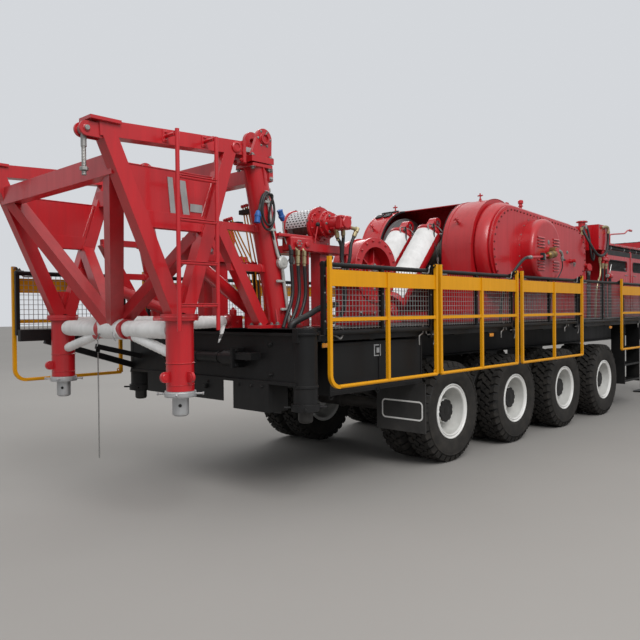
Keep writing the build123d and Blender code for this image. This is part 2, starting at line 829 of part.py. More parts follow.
with BuildPart() as mast_posts:
    for side in side_names:
        y = side * post_y
        rod((post_x0, y, deck_top + post_foot), (post_x1, y, post_z1), post_radius)
        block(post_x0 - 150, post_x0 + 150, y - 140, y + 140, deck_top, deck_top + post_foot)
        half = post_head / 2
        head_top = post_z1 - 10 + post_head_plate
        block(post_x1 - half, post_x1 + half, y - half, y + half, post_z1 - 10, head_top)
        for cheek in (-1, 1):
            y0 = y + cheek * cheek_gap / 2
            y1 = y0 + cheek * cheek_plate
            with BuildSketch(Plane.XZ.offset(-y0)):
                with BuildLine():
                    Polyline(
                        (post_x1 - half + 10, head_top),
                        (post_x1 + half, head_top),
                        (x_at(hinge_x) + hinge_cheek, hinge_top),
                        (x_at(hinge_x) - hinge_cheek, hinge_top),
                        close=True,
                    )
                make_face()
                with Locations((x_at(hinge_x), hinge_top)):
                    Circle(hinge_cheek)
            extrude(amount=-cheek * cheek_plate)
            boss_end = y1 + cheek * 22
            rod((x_at(hinge_x), y1, hinge_top), (x_at(hinge_x), boss_end, hinge_top), hinge_boss)
        tie_z = front_z - 60
        block(front_x + tie_joint, on_post(tie_z) - 60, y - 45, y + 45, tie_z - 45, tie_z + 45)
        # brace leg behind the post, with two ties and the round diagonal
        leg_top = (on_leg(front_x, front_z, 2330) + 150, y, 2330)
        member(leg_top, (post_x0 - 205, y, deck_top + post_foot), tie_box, tie_box, up=(0, 1, 0))
        for z, lean in ((2340, 0.02), (2010, 0.31)):
            x0 = leg_top[0] + (post_x0 - 205 - leg_top[0]) * lean
            member((x0 - 30, y, z), (on_post(z), y, z), tie_box - 30, tie_box - 30)
        block(post_x0 - 205 - 90, post_x0 - 205 + 90, y - 80, y + 80, deck_top, deck_top + post_foot)
    for side in side_names:
        y0, y1 = side * post_y - 160, side * post_y + 160
        x = x_at(hinge_x)
        rod((x, y0, hinge_top), (x, y1, hinge_top), hinge_bore, mode=Mode.SUBTRACT)
    beam_z = 2800
    x = on_post(beam_z)
    block(x - 5, x + 115, -post_y - 80, post_y + 80, beam_z - 60, beam_z + 60)
save(mast_posts, "mast_posts")

# Raising rams: brackets on the deck, barrels on pins, rods inside them
ram_x0, ram_z0 = x_at(ram_foot[0]), ram_foot[1]
ram_way = Vector(0, 0, 1).rotate(Axis.Y, ram_lean)
with BuildPart() as ram_brackets:
    for side in side_names:
        y = side * ram_y
        for cheek in (-1, 1):
            y0 = y + cheek * (ram_eye_wide / 2 + 3)
            y1 = y0 + cheek * ram_cheek
            block(ram_x0 - 90, ram_x0 + 90, y0, y1, deck_top, ram_z0)
            rod((ram_x0, y0, ram_z0), (ram_x0, y1, ram_z0), 90)
        block(ram_x0 - 130, ram_x0 + 130, y - 120, y + 120, deck_top, deck_top + 20)
    for side in side_names:
        y = side * ram_y
        reach = ram_eye_wide / 2 + ram_cheek + 10
        rod((ram_x0, y - reach, ram_z0), (ram_x0, y + reach, ram_z0), ram_pin + fit, mode=Mode.SUBTRACT)
save(ram_brackets, "ram_brackets")

for side, side_name in side_names.items():
    y = side * ram_y
    base = Vector(ram_x0, y, ram_z0)
    with BuildPart() as barrel:
        rod(tuple(base + ram_way * 110), tuple(base + ram_way * ram_barrel), ram_radius)
        rod(tuple(base), tuple(base + ram_way * 120), ram_eye_wide / 2)
        half = ram_eye_wide / 2
        rod((ram_x0, y - half, ram_z0), (ram_x0, y + half, ram_z0), ram_eye_radius)
        reach = half + 3 + ram_cheek
        rod((ram_x0, y - reach, ram_z0), (ram_x0, y + reach, ram_z0), ram_pin)
        rod(
            tuple(base + ram_way * 180),
            tuple(base + ram_way * (ram_barrel + 1)),
            ram_rod_radius + fit,
            mode=Mode.SUBTRACT,
        )
    save(barrel, f"ram_barrel_{side_name}")

    with BuildPart() as rod_piece:
        rod(tuple(base + ram_way * 200), tuple(base + ram_way * (ram_barrel + 40)), ram_rod_radius)
        neck = base + ram_way * (ram_barrel + 30)
        rod(tuple(neck), tuple(neck + ram_way * 70), ram_rod_radius - 18)
        eye = base + ram_way * ram_eye
        member(tuple(neck + ram_way * 60), tuple(eye), ram_eye_wide, 2 * ram_eye_radius, up=(1, 0, 0))
        rod((eye.X, y - half, eye.Z), (eye.X, y + half, eye.Z), ram_eye_radius)
        rod((eye.X, y - half - 1, eye.Z), (eye.X, y + half + 1, eye.Z), ram_pin, mode=Mode.SUBTRACT)
    save(rod_piece, f"ram_rod_{side_name}")

# Drawworks housing: skid, guards, roof, main case
drum_at = x_at(drum_x)
case_x0, case_x1 = x_at(case_rear), x_at(case_front)
inside = guard_radius - guard_plate
with BuildPart() as drawworks_housing:
    for side in side_names:
        y = side * (case_half - 75)
        block(x_at(skid_rear), case_x1, y - 75, y + 75, deck_top, deck_top + skid_tall)
    for x in (x_at(skid_rear), case_x0 - 120, case_x1 - 150):
        block(x, x + 150, -case_half, case_half, deck_top, deck_top + skid_tall)
    for y0, y1 in (guard_near, guard_far):
        with BuildSketch(Plane.XZ.offset(-y0)):
            with Locations((drum_at, drum_z)):
                Circle(guard_radius)
            with Locations((drum_at, (drum_z + guard_foot) / 2)):
                Rectangle(2 * guard_radius, drum_z - guard_foot)
            with Locations((drum_at, drum_z)):
                Circle(inside, mode=Mode.SUBTRACT)
            with Locations((drum_at, (drum_z + guard_foot) / 2)):
                Rectangle(2 * inside, drum_z - guard_foot, mode=Mode.SUBTRACT)
        extrude(amount=-(y1 - y0))
    for y0 in (guard_near[0], guard_far[1] - guard_plate):
        with BuildSketch(Plane.XZ.offset(-y0)):
            with Locations((drum_at, drum_z)):
                Circle(guard_radius)
            with Locations((drum_at, (drum_z + guard_foot) / 2)):
                Rectangle(2 * guard_radius, drum_z - guard_foot)
        extrude(amount=-guard_plate)
    # roof between the two guards, from behind the crest to the front
    with BuildSketch(Plane.XZ.offset(-guard_near[1] + 5)):
        with Locations((drum_at, drum_z)):
            Circle(guard_radius)
            Circle(inside, mode=Mode.SUBTRACT)
        wedge = 3 * guard_radius
        with BuildLine():
            rear_ray = Vector(wedge, 0).rotate(Axis.Z, roof_rear)
            front_ray = Vector(wedge, 0).rotate(Axis.Z, roof_front)
            Polyline(
                (drum_at, drum_z),
                (drum_at + front_ray.X, drum_z + front_ray.Y),
                (drum_at + wedge, drum_z + wedge),
                (drum_at + rear_ray.X, drum_z + rear_ray.Y),
                close=True,
            )
        make_face(mode=Mode.INTERSECT)
    extrude(amount=-(guard_far[0] - guard_near[1] + 10))
    with BuildSketch(Plane.XZ.offset(case_half)):
        with BuildLine():
            round_end = case_x1 - case_round
            foot_z = deck_top + skid_tall
            Polyline((case_x0, foot_z), (case_x1, foot_z), (case_x1, case_top - case_round))
            RadiusArc((case_x1, case_top - case_round), (round_end, case_top), -case_round)
            Polyline((round_end, case_top), (case_x0, case_top), (case_x0, foot_z))
        make_face()
    extrude(amount=-2 * case_half)
    # vent pipe on the roof, and the riser pipe with its bracket beside the case
    rod((x_at(vent_x), vent_y, case_top - 5), (x_at(vent_x), vent_y, vent_top), vent_radius)
    rod((x_at(riser_x), riser_y, deck_top), (x_at(riser_x), riser_y, riser_top), riser_radius)
    hold = riser_radius / 2
    x = x_at(riser_x)
    block(x - hold, x + hold, riser_y, 1 - case_half, riser_hold_z - hold, riser_hold_z + hold)
    # the control box on the front of the case
    x0, x1, y0, y1, z0, z1 = control_box
    block(x_at(x0) - 1, x_at(x1), y0, y1, z0, z1)
    for y in (guard_near[0], guard_far[1] - guard_plate):
        shaft_end = (drum_at, y + guard_plate + 1, drum_z)
        rod((drum_at, y - 1, drum_z), shaft_end, drum_shaft + fit, mode=Mode.SUBTRACT)
save(drawworks_housing, "drawworks_housing")

# Drawworks drum with its two brake rims and shaft
with BuildPart() as drawworks_drum:
    y0, y1 = guard_near[0] + guard_plate + drum_gap, guard_far[1] - guard_plate - drum_gap
    rod((drum_at, guard_near[0], drum_z), (drum_at, guard_far[1], drum_z), drum_shaft)
    rod((drum_at, y0 + 60, drum_z), (drum_at, y1 - 60, drum_z), drum_barrel)
    for y in (guard_near[1] - 40, guard_far[0]):
        rod((drum_at, y, drum_z), (drum_at, y + drum_rim, drum_z), drum_rim_radius)
save(drawworks_drum, "drawworks_drum")

# Chain case on the near side, with its bolted cover, and the clutch cover on it
with BuildPart() as chain_case:
    y0 = guard_near[0] - fit
    seam = -chain_face + chain_cover
    for offset_in, start, end in ((0, y0, seam), (18, seam, -chain_face)):
        with BuildSketch(Plane.XZ.offset(-start)):
            with Locations((drum_at, drum_z)):
                Circle(chain_big - offset_in)
            with Locations((x_at(chain_small_x), chain_small_z)):
                Circle(chain_small - offset_in)
            make_hull()
        extrude(amount=start - end)
    # the clutch cover with its rounded rim, and the rotary union on it
    face = (x_at(clutch_x), -clutch_face, clutch_z)
    rod((x_at(clutch_x), -chain_face + 5, clutch_z), face, clutch_radius)
    fillet(chain_case.faces().sort_by(Axis.Y)[0].edges(), clutch_round)
    rod(face, (x_at(clutch_x), -union_face, clutch_z), union_radius)
save(chain_case, "chain_case")

# Rotary drive housing: a dished round case on a box
with BuildPart() as rotary_drive:
    x = x_at(rotary_x)
    rod((x, -rotary_near, rotary_z), (x, -rotary_far, rotary_z), rotary_radius)
    block(x - 260, x + 260, -rotary_near + 20, -rotary_far + 20, deck_top, rotary_z - 60)
    y = -rotary_near
    rod((x, y - 1, rotary_z), (x, y + 120, rotary_z), rotary_inner, mode=Mode.SUBTRACT)
    rod((x, y + 30, rotary_z), (x, y + 130, rotary_z), 80)
save(rotary_drive, "rotary_drive")

# Utility winches: stand, table, discs and gearbox; guard; drum
winch_at = x_at(winch_x)
with BuildPart() as winch_frames:
    for side in side_names:
        x = winch_at
        y_in, y_out = side * winch_inner, side * winch_outer
        x0, x1 = x_at(winch_table_x[0]), x_at(winch_table_x[1])
        table_low = winch_table_top - winch_table
        block(x0, x1, y_in - side * 60, y_out + side * 120, table_low, winch_table_top)
        half = winch_post / 2
        for post_at in (y_in + side * half, y_out):
            block(x - half, x + half, post_at - half, post_at + half, deck_top, table_low + 5)
        for y in (y_in, y_out):
            rod((x, y, winch_z), (x, y + side * winch_disc, winch_z), winch_disc_radius)
            block(x - 120, x + 120, y, y + side * winch_disc, winch_table_top - 5, winch_z)
        gear_end = (x, side * winch_gear_face, winch_z)
        rod((x, y_out + side * winch_disc, winch_z), gear_end, winch_gear_radius)
        motor_start = (x, side * (winch_gear_face - 5), winch_z)
        rod(motor_start, (x, side * winch_motor_face, winch_z), winch_motor_radius)
    for side in side_names:
        y_in, y_out = side * winch_inner, side * winch_outer
        bore = winch_shaft + fit
        for y in (y_in, y_out):
            rod((x, y - side, winch_z), (x, y + side * winch_disc, winch_z), bore, mode=Mode.SUBTRACT)
save(winch_frames, "winch_frames")

with BuildPart() as winch_guards:
    for side in side_names:
        y0 = side * (winch_inner + winch_disc + fit)
        y1 = side * (winch_outer - fit)
        with BuildSketch(Plane.XZ.offset(-y0)):
            with Locations((x, winch_z)):
                Circle(winch_guard_radius)
                Circle(winch_guard_radius - winch_guard_plate, mode=Mode.SUBTRACT)
                with Locations((0, -winch_guard_radius / 2 - 20)):
                    Rectangle(3 * winch_guard_radius, winch_guard_radius, mode=Mode.SUBTRACT)
        extrude(amount=-(y1 - y0))
save(winch_guards, "winch_guards")

for side, side_name in side_names.items():
    y_in, y_out = side * winch_inner, side * winch_outer
    y0, y1 = side * (winch_inner + winch_disc + 8), side * (winch_outer - 8)
    with BuildPart() as winch_drum:
        rod((x, y_in, winch_z), (x, y_out + side * (winch_disc - 1), winch_z), winch_shaft)
        rod((x, y0, winch_z), (x, y1, winch_z), winch_drum_radius)
        for y in (y0, y1 - side * 12):
            rod((x, y, winch_z), (x, y + side * 12, winch_z), winch_guard_radius - winch_guard_plate - 12)
    save(winch_drum, f"winch_drum_{side_name}")

# Engine house: walls with rounded windows, roof above a gap, engines inside
house_x0, house_x1 = x_at(house_rear), x_at(house_front)
with BuildPart() as engine_house:
    block(house_x0, house_x1, -house_half, house_half, deck_top, house_top)
    block(
        house_x0 + house_wall,
        house_x1 - house_wall,
        -house_half + house_wall,
        house_half - house_wall,
        deck_top - 1,
        house_top + 1,
        mode=Mode.SUBTRACT,
    )
    window_z = house_top - window_drop - window_tall / 2
    with BuildSketch(Plane.XZ.offset(-house_half)):
        for share in (0.25, 0.72):
            with Locations((house_x0 + (house_x1 - house_x0) * share, window_z)):
                RectangleRounded(820, window_tall, 40)
    extrude(amount=2 * house_half, mode=Mode.SUBTRACT)
    with BuildSketch(Plane.YZ.offset(house_x1)):
        with Locations((0, (house_top + deck_top) / 2)):
            RectangleRounded(1500, 760, 60)
    extrude(amount=-2 * house_wall, mode=Mode.SUBTRACT)
    for x in (house_x0 + 60, (house_x0 + house_x1) / 2, house_x1 - 60):
        for side in side_names:
            y = side * (house_half - house_wall - 20)
            block(x - 25, x + 25, y - 25, y + 25, deck_top, house_top + roof_gap)
save(engine_house, "engine_house")

with BuildPart() as house_roof:
    z0 = house_top + roof_gap + fit
    with BuildSketch(Plane.YZ.offset(house_x0 - 40)):
        with BuildLine():
            Polyline((-house_half - 30, z0), (house_half + 30, z0), (house_half + 30, z0 + 20))
            ThreePointArc((house_half + 30, z0 + 20), (0, z0 + roof_rise), (-house_half - 30, z0 + 20))
            Line((-house_half - 30, z0 + 20), (-house_half - 30, z0))
        make_face()
    extrude(amount=house_x1 - house_x0 + 80)
save(house_roof, "house_roof")

with BuildPart() as engines:
    for side in side_names:
        y = side * engine_y
        half = engine_wide / 2
        block(x_at(engine_rear), x_at(engine_front), y - half, y + half, engine_base, engine_top)
        for x in (x_at(engine_rear) + 200, x_at(engine_front) - 300):
            block(x, x + 100, y - half, y + half, deck_top, engine_base + 5)
save(engines, "engines")

# Tool boxes under the deck, hollow, with two doors each
with BuildPart() as tool_boxes:
    for side in side_names:
        y0, y1 = side * box_inner, side * (box_outer - box_door)
        block(x_at(box_rear), x_at(box_front), y0, y1, box_bottom, box_top)
        block(
            x_at(box_rear) + box_wall,
            x_at(box_front) - box_wall,
            y0 + side * box_wall,
            y1 + side,
            box_bottom + box_wall,
            box_top - box_wall,
            mode=Mode.SUBTRACT,
        )
        for i in (1, 2):
            x = beam_x1 + i * cross_pitch
            y2 = side * (box_inner + box_hanger)
            block(x, x + cross_wide, y0, y2, box_top - 1, rail_top - cross_tall)
    # two doors on each box
    middle = (x_at(box_rear) + x_at(box_front)) / 2
    for side in side_names:
        y0, y1 = side * (box_outer - box_door + fit), side * box_outer
        for x0, x1 in ((x_at(box_rear), middle - 3), (middle + 3, x_at(box_front))):
            block(x0, x1, y0, y1, box_bottom, box_top)
save(tool_boxes, "tool_boxes")

with BuildPart() as mud_flaps:
    for side in side_names:
        x = x_at(flap_x)
        block(x - flap_thick, x, side * flap_inner, side * flap_outer, flap_bottom, box_bottom)
save(mud_flaps, "mud_flaps")

with BuildPart() as marker_lamps:
    for side in side_names:
        for station in lamp_stations:
            x = x_at(station)
            y0 = side * (deck_half + fit)
            z1 = rail_top - side_channel - 10
            block(x - lamp_long / 2, x + lamp_long / 2, y0, y0 + side * lamp_thick, z1 - lamp_tall, z1)
save(marker_lamps, "marker_lamps")

# Chain hanging from its arm
with BuildPart() as hanging_chain:
    x, y, z = x_at(arm_end[0]), arm_end[1], arm_end[2]
    rod((x + 20, y, chain_low), (x + 20, y, z - 60), chain_radius)
save(hanging_chain, "hanging_chain")

# Steps under the deck, near and far
with BuildPart() as steps:
    for side in side_names:
        y0, y1 = side * (deck_half - 60 - step_deep), side * (deck_half - 60)
        for station in step_x:
            x = x_at(station)
            block(x - 8, x + 8, y0, y1, step_z[0] - 30, rail_top)
        for z in step_z:
            block(x_at(step_x[0]), x_at(step_x[1]), y0, y1, z, z + step_plate)
save(steps, "steps")

# Hydraulic tank and the mast rest on the neck
neck_deck = neck_top + deck_plate
with BuildPart() as neck_tank:
    block(x_at(tank_x[0]), x_at(tank_x[1]), -tank_half, tank_half, neck_deck, tank_top)
    fillet(neck_tank.edges().filter_by(Axis.Y).group_by(Axis.Z)[-1], 60)
save(neck_tank, "neck_tank")

with BuildPart() as mast_rest:
    for side in side_names:
        y = side * rest_y
        member((x_at(rest_x), y, neck_deck), (x_at(rest_x), y, rest_top), rest_box, rest_box, up=(0, 1, 0))
        brace_foot = (x_at(rest_x) - 560, y, neck_deck + 25)
        member(brace_foot, (x_at(rest_x), y, rest_top - 300), 90, 90, up=(0, 1, 0))
        block(brace_foot[0] - 80, brace_foot[0] + 80, y - 70, y + 70, neck_deck, neck_deck + 25)
    block(x_at(rest_x) - 80, x_at(rest_x) + 80, -rest_y - 200, rest_y + 200, rest_top, rest_top + 120)
    for side in side_names:
        y = side * (rest_y + 100)
        block(x_at(rest_x) - 80, x_at(rest_x) + 80, y - 60, y + 60, rest_top + 115, rest_top + 260)
save(mast_rest, "mast_rest")

# Walkway panels and their handrails
for name, side, start, end, first_post, rounded in walkways:
    x0, x1 = x_at(start), x_at(end)
    y = side * hinge_y
    top_z = hinge_z + panel_height
    with BuildPart() as panel:
        half = panel_post / 2
        inset = panel_post + 2 * lug_gap + lug_thick
        rod((x0 + inset, y, hinge_z), (x1 - inset, y, hinge_z), panel_tube)
        rod((x0, y, hinge_z), (x1, y, hinge_z), hinge_pin)
        rod((x0, y, top_z), (x1, y, top_z), panel_tube)
        for x in (x0, x1 - panel_post):
            block(x, x + panel_post, y - half, y + half, hinge_z - half, top_z)
        count = max(2, round((x1 - x0) / joist_pitch))
        for i in range(1, count):
            x = x0 + (x1 - x0) * i / count
            block(x - half, x + half, y - half, y + half, hinge_z, top_z)
    swing_z = top_z + swing_rise
    r0, r1 = x_at(first_post), x1
    lug_at = (r0 + rail_post + lug_gap, r1 - rail_post - lug_gap - swing_lug)
    with BuildPart() as lugs:
        with BuildSketch(Plane.YZ):
            with Locations((y, top_z)):
                Circle(panel_tube)
            with Locations((side * swing_y, swing_z)):
                Circle(16)
            make_hull()
            with Locations((side * swing_y, swing_z)):
                Circle(swing_pin + fit, mode=Mode.SUBTRACT)
        extrude(amount=swing_lug)
    with panel:
        for x in lug_at:
            add(lugs.part.moved(Location((x, 0, 0))))
    save(panel, f"walkway_{name}")

    with BuildPart() as rail:
        y = side * swing_y
        half = rail_post / 2
        low_z = swing_z - rail_long
        corner = corner_round if rounded else 0
        kick_z = swing_z - kick_top
        bays = max(2, round((r1 - r0) / rail_bay))
        for i in range(bays + 1):
            x = r0 + (r1 - rail_post - r0) * i / bays
            foot_z = low_z + corner if i == 0 else low_z
            head_z = swing_z + 15 if i in (0, bays) else kick_z
            block(x, x + rail_post, y - half, y + half, foot_z, head_z)
        rod((r0 + corner + half, y, low_z), (r1 - half, y, low_z), rail_tube)
        if rounded:
            with BuildSketch(Plane.XZ.offset(-y)):
                with Locations((r0 + half + corner, low_z + corner)):
                    Circle(corner + half)
                    Circle(corner - half, mode=Mode.SUBTRACT)
                    with Locations((-corner, -corner)):
                        Rectangle(2 * corner, 2 * corner, mode=Mode.INTERSECT)
            extrude(amount=half, both=True)
        mid_z = swing_z - mid_rail_drop
        block(r0 + half, r1 - half, y - 8, y + 8, mid_z - half, mid_z + half)
        block(r0 + half, r1 - half, y - kick_thick / 2, y + kick_thick / 2, kick_z - kick_tall, kick_z)
        for x, way in ((r0 + rail_post, 1), (r1 - rail_post, -1)):
            rod((x - way, y, swing_z), (x + way * (lug_gap + swing_lug + 2), y, swing_z), swing_pin)
    save(rail, f"handrail_{name}")
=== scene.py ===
import itertools
from math import acos, atan2, copysign, cos, degrees, hypot, pi, radians, sin

import bmesh
import bpy
from mathutils import Matrix, Vector, noise


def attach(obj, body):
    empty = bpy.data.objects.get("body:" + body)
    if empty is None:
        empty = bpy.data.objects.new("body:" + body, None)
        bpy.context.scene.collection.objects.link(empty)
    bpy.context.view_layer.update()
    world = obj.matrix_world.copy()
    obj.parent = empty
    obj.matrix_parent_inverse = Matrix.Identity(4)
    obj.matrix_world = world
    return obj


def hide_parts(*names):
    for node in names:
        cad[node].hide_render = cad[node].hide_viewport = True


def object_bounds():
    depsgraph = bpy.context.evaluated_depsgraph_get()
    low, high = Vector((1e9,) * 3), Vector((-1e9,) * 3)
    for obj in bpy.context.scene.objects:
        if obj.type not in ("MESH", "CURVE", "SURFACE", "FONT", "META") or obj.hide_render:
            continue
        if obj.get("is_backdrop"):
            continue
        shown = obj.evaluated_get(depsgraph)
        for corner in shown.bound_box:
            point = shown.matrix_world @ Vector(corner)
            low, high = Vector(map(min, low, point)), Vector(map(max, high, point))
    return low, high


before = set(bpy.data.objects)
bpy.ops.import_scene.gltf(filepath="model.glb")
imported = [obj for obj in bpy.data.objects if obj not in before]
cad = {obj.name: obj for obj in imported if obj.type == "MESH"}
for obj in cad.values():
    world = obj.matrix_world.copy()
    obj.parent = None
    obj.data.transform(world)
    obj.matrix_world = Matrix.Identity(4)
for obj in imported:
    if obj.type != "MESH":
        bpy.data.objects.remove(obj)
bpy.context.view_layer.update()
scene = bpy.context.scene

# Yard floor, sky, lamps and camera
# The rig stands on a plain concrete floor under an even, overcast sky, with one broad soft lamp
# over its rear near corner, and is seen from where the photograph was taken.
floor_mesh = bpy.data.meshes.new("yard_floor")
reach = 90
floor_mesh.from_pydata([(x * reach, y * reach, -0.002) for x, y in ((-1, -1), (1, -1), (1, 1), (-1, 1))], [],
    [(0, 1, 2, 3)])
floor = bpy.data.objects.new("yard_floor", floor_mesh)
scene.collection.objects.link(floor)
floor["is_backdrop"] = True


def plug(tree, node, inputs):
    """Sets a node's named inputs: to a value, to another node's output, or to its first live output."""
    for key, value in inputs.items():
        if isinstance(value, bpy.types.Node):
            value = next(socket for socket in value.outputs if socket.enabled)
        if isinstance(value, bpy.types.NodeSocket):
            tree.links.new(value, node.inputs[key])
        else:
            node.inputs[key].default_value = value


def put(tree, kind, inputs=None, **settings):
    """Adds one node to a node tree, sets it up, and plugs in its inputs."""
    node = tree.nodes.new(kind if kind.startswith("NodeGroup") else "ShaderNode" + kind)
    for key, value in settings.items():
        setattr(node, key, value)
    plug(tree, node, inputs or {})
    return node


def blend(tree, share, a, b):
    """Mixes two colours by a share."""
    return put(tree, "Mix", {"Factor": share, "A": a, "B": b}, data_type="RGBA")


def ramp(tree, value, low, high, to_low=0.0, to_high=1.0):
    """Spreads the values from low to high over a new range."""
    return put(tree, "MapRange", {"Value": value, "From Min": low, "From Max": high, "To Min": to_low,
        "To Max": to_high})


def coat(name):
    """Starts a material, and gives it with its node tree and its main shader."""
    made = bpy.data.materials.new(name)
    made.use_nodes = True
    return made, made.node_tree, made.node_tree.nodes["Principled BSDF"]


concrete, tree, shader = coat("yard concrete")
place = put(tree, "TexCoord").outputs["Object"]
cloudy = put(tree, "TexNoise", {"Vector": place, "Scale": 0.35, "Detail": 4.0})
tone = blend(tree, cloudy, (0.272, 0.258, 0.242, 1), (0.315, 0.3, 0.282, 1))
plug(tree, shader, {"Base Color": tone, "Roughness": 0.9})
floor_mesh.materials.append(concrete)

sky = bpy.data.worlds.new("overcast sky")
scene.world = sky
sky.use_nodes = True
tree = sky.node_tree
tree.nodes.clear()
up = put(tree, "SeparateXYZ", {"Vector": put(tree, "TexCoord").outputs["Generated"]})
rise = ramp(tree, up.outputs["Z"], -0.05, 0.7)
glow = blend(tree, rise, (0.36, 0.38, 0.41, 1), (0.98, 0.99, 1.0, 1))
seen = put(tree, "LightPath")
lit = put(tree, "Background", {"Color": glow, "Strength": 0.96})
shown = put(tree, "Background", {"Color": (0.66, 0.68, 0.71, 1), "Strength": 1.0})
view = put(tree, "MixShader", {0: seen.outputs["Is Camera Ray"], 1: lit, 2: shown})
put(tree, "OutputWorld", {"Surface": view})

for name, spot, aim, size, watts in (("broad_sky_panel", (-9, -11, 12), (-1, 0, 1), 9, 1500),
        ("far_side_panel", (6, 10, 9), (0, 0, 1), 8, 420)):
    lamp = bpy.data.lights.new(name, "AREA")
    lamp.shape, lamp.size, lamp.energy = "DISK", size, watts
    holder = bpy.data.objects.new(name, lamp)
    holder.location = spot
    holder.rotation_euler = (Vector(aim) - Vector(spot)).to_track_quat("-Z", "Y").to_euler()
    scene.collection.objects.link(holder)

eye = Vector((-9.056, -5.205, 1.637))
yaw, pitch, roll = map(radians, (43.41, -0.713, -0.575))
ahead = Vector((cos(yaw) * cos(pitch), sin(yaw) * cos(pitch), sin(pitch)))
right = Vector((sin(yaw), -cos(yaw), 0))
above = right.cross(ahead)
right, above = (cos(roll) * right + sin(roll) * above, cos(roll) * above - sin(roll) * right)
lens = bpy.data.cameras.new("yard_camera")
lens.lens, lens.sensor_width, lens.clip_end = 37.8, 36, 400
camera = bpy.data.objects.new("yard_camera", lens)
camera.matrix_world = Matrix.Translation(eye) @ Matrix((right, above, -ahead)).transposed().to_4x4()
scene.collection.objects.link(camera)
scene.camera = camera
scene.view_settings.view_transform = "Standard"


# Hanging chain
# A light steel chain hangs straight down from the arm behind the far end of the rear beam.
# It is short welded links of round wire, each turned a quarter against the last, and ends bare.
chain_top, chain_low, chain_pitch = (-5.66, 1.11, 1.25), 0.162, 0.0262
route = bpy.data.curves.new("chain_route", "CURVE")
route.dimensions = "3D"
line = route.splines.new("NURBS")
line.points.add(3)
for point, share in zip(line.points, (0, 0.3, 0.7, 1)):
    point.co = (chain_top[0], chain_top[1], chain_top[2] + (chain_low - chain_top[2]) * share, 1)
line.order_u, line.use_endpoint_u = 3, True
holder = bpy.data.objects.new("chain_route", route)
scene.collection.objects.link(holder)
drawn = holder.evaluated_get(bpy.context.evaluated_depsgraph_get())
along = [v.co.copy() for v in bpy.data.meshes.new_from_object(drawn).vertices]
bpy.data.objects.remove(holder)


work = bmesh.new()


def cover(rings, finish=0, looped=False, ends=True):
    """Covers rings of points with faces, closed at both ends or looped round from the last to the first."""
    rings = [[work.verts.new(spot) for spot in ring] for ring in rings]
    pairs = zip(rings[-1:] + rings, rings) if looped else zip(rings, rings[1:])
    faces = [work.faces.new((a[i], a[(i + 1) % len(a)], b[(i + 1) % len(a)], b[i]))
        for a, b in pairs for i in range(len(a))]
    if ends:
        faces += [work.faces.new(rings[0][::-1]), work.faces.new(rings[-1])]
    for face in faces:
        face.material_index = finish
    return rings


def circle(middle, side, other, radius, count, start=0.0):
    """Gives points round a circle, in the plane of two directions."""
    turns = [start + 2 * pi * i / count for i in range(count)]
    return [middle + (side * cos(a) + other * sin(a)) * radius for a in turns]


def piece(name, material, body="trailer", angle=35):
    """Names the shape in hand, gives it its finish, hangs it on its body and starts the next shape."""
    global work
    bmesh.ops.recalc_face_normals(work, faces=work.faces)
    mesh = bpy.data.meshes.new(name)
    work.to_mesh(mesh)
    work.free()
    work = bmesh.new()
    for face in mesh.polygons:
        face.use_smooth = True
    mesh.set_sharp_from_angle(angle=radians(angle))
    for finish in material if isinstance(material, (list, tuple)) else [material]:
        mesh.materials.append(finish)
    made = bpy.data.objects.new(name, mesh)
    scene.collection.objects.link(made)
    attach(made, body)
    return made


def group(name, inputs, outputs):
    """Starts a shader node group with named sockets, given as (name, kind, default) and (name, kind)."""
    made = bpy.data.node_groups.new(name, "ShaderNodeTree")
    for label, kind, default in inputs:
        made.interface.new_socket(label, in_out="INPUT", socket_type=kind).default_value = default
    for label, kind in outputs:
        made.interface.new_socket(label, in_out="OUTPUT", socket_type=kind)
    return made, put(made, "NodeGroupInput").outputs, put(made, "NodeGroupOutput")


UP, AHEAD, FAR = Vector((0, 0, 1)), Vector((1, 0, 0)), Vector((0, 1, 0))
DOWN, BACK, NEAR = -UP, -AHEAD, -FAR
def work_out(tree, operation, a, b, **settings):
    """Works out one value from two."""
    return put(tree, "Math", {0: a, 1: b}, operation=operation, **settings)


VALUE, TINT, WAY = "NodeSocketFloat", "NodeSocketColor", "NodeSocketVector"
worn_edges, given, gives = group("worn edges", [("Width", VALUE, 0.004), ("Wear", VALUE, 0.5)],
    [("Mask", VALUE), ("Normal", WAY)])
rounded = put(worn_edges, "Bevel", {"Radius": given["Width"]}, samples=4)
shape = put(worn_edges, "NewGeometry")
facing = put(worn_edges, "VectorMath", {0: rounded, 1: shape.outputs["Normal"]}, operation="DOT_PRODUCT")
edge = ramp(worn_edges, facing, 0.985, 0.86)
patchy = put(worn_edges, "TexNoise", {"Vector": put(worn_edges, "TexCoord").outputs["Object"], "Scale": 23.0,
    "Detail": 5.0, "Roughness": 0.7})
broken = ramp(worn_edges, patchy, 0.52, 0.62)
both = work_out(worn_edges, "MULTIPLY", edge, broken)
scaled = work_out(worn_edges, "MULTIPLY", both, given["Wear"])
plug(worn_edges, gives, {"Mask": scaled, "Normal": rounded})

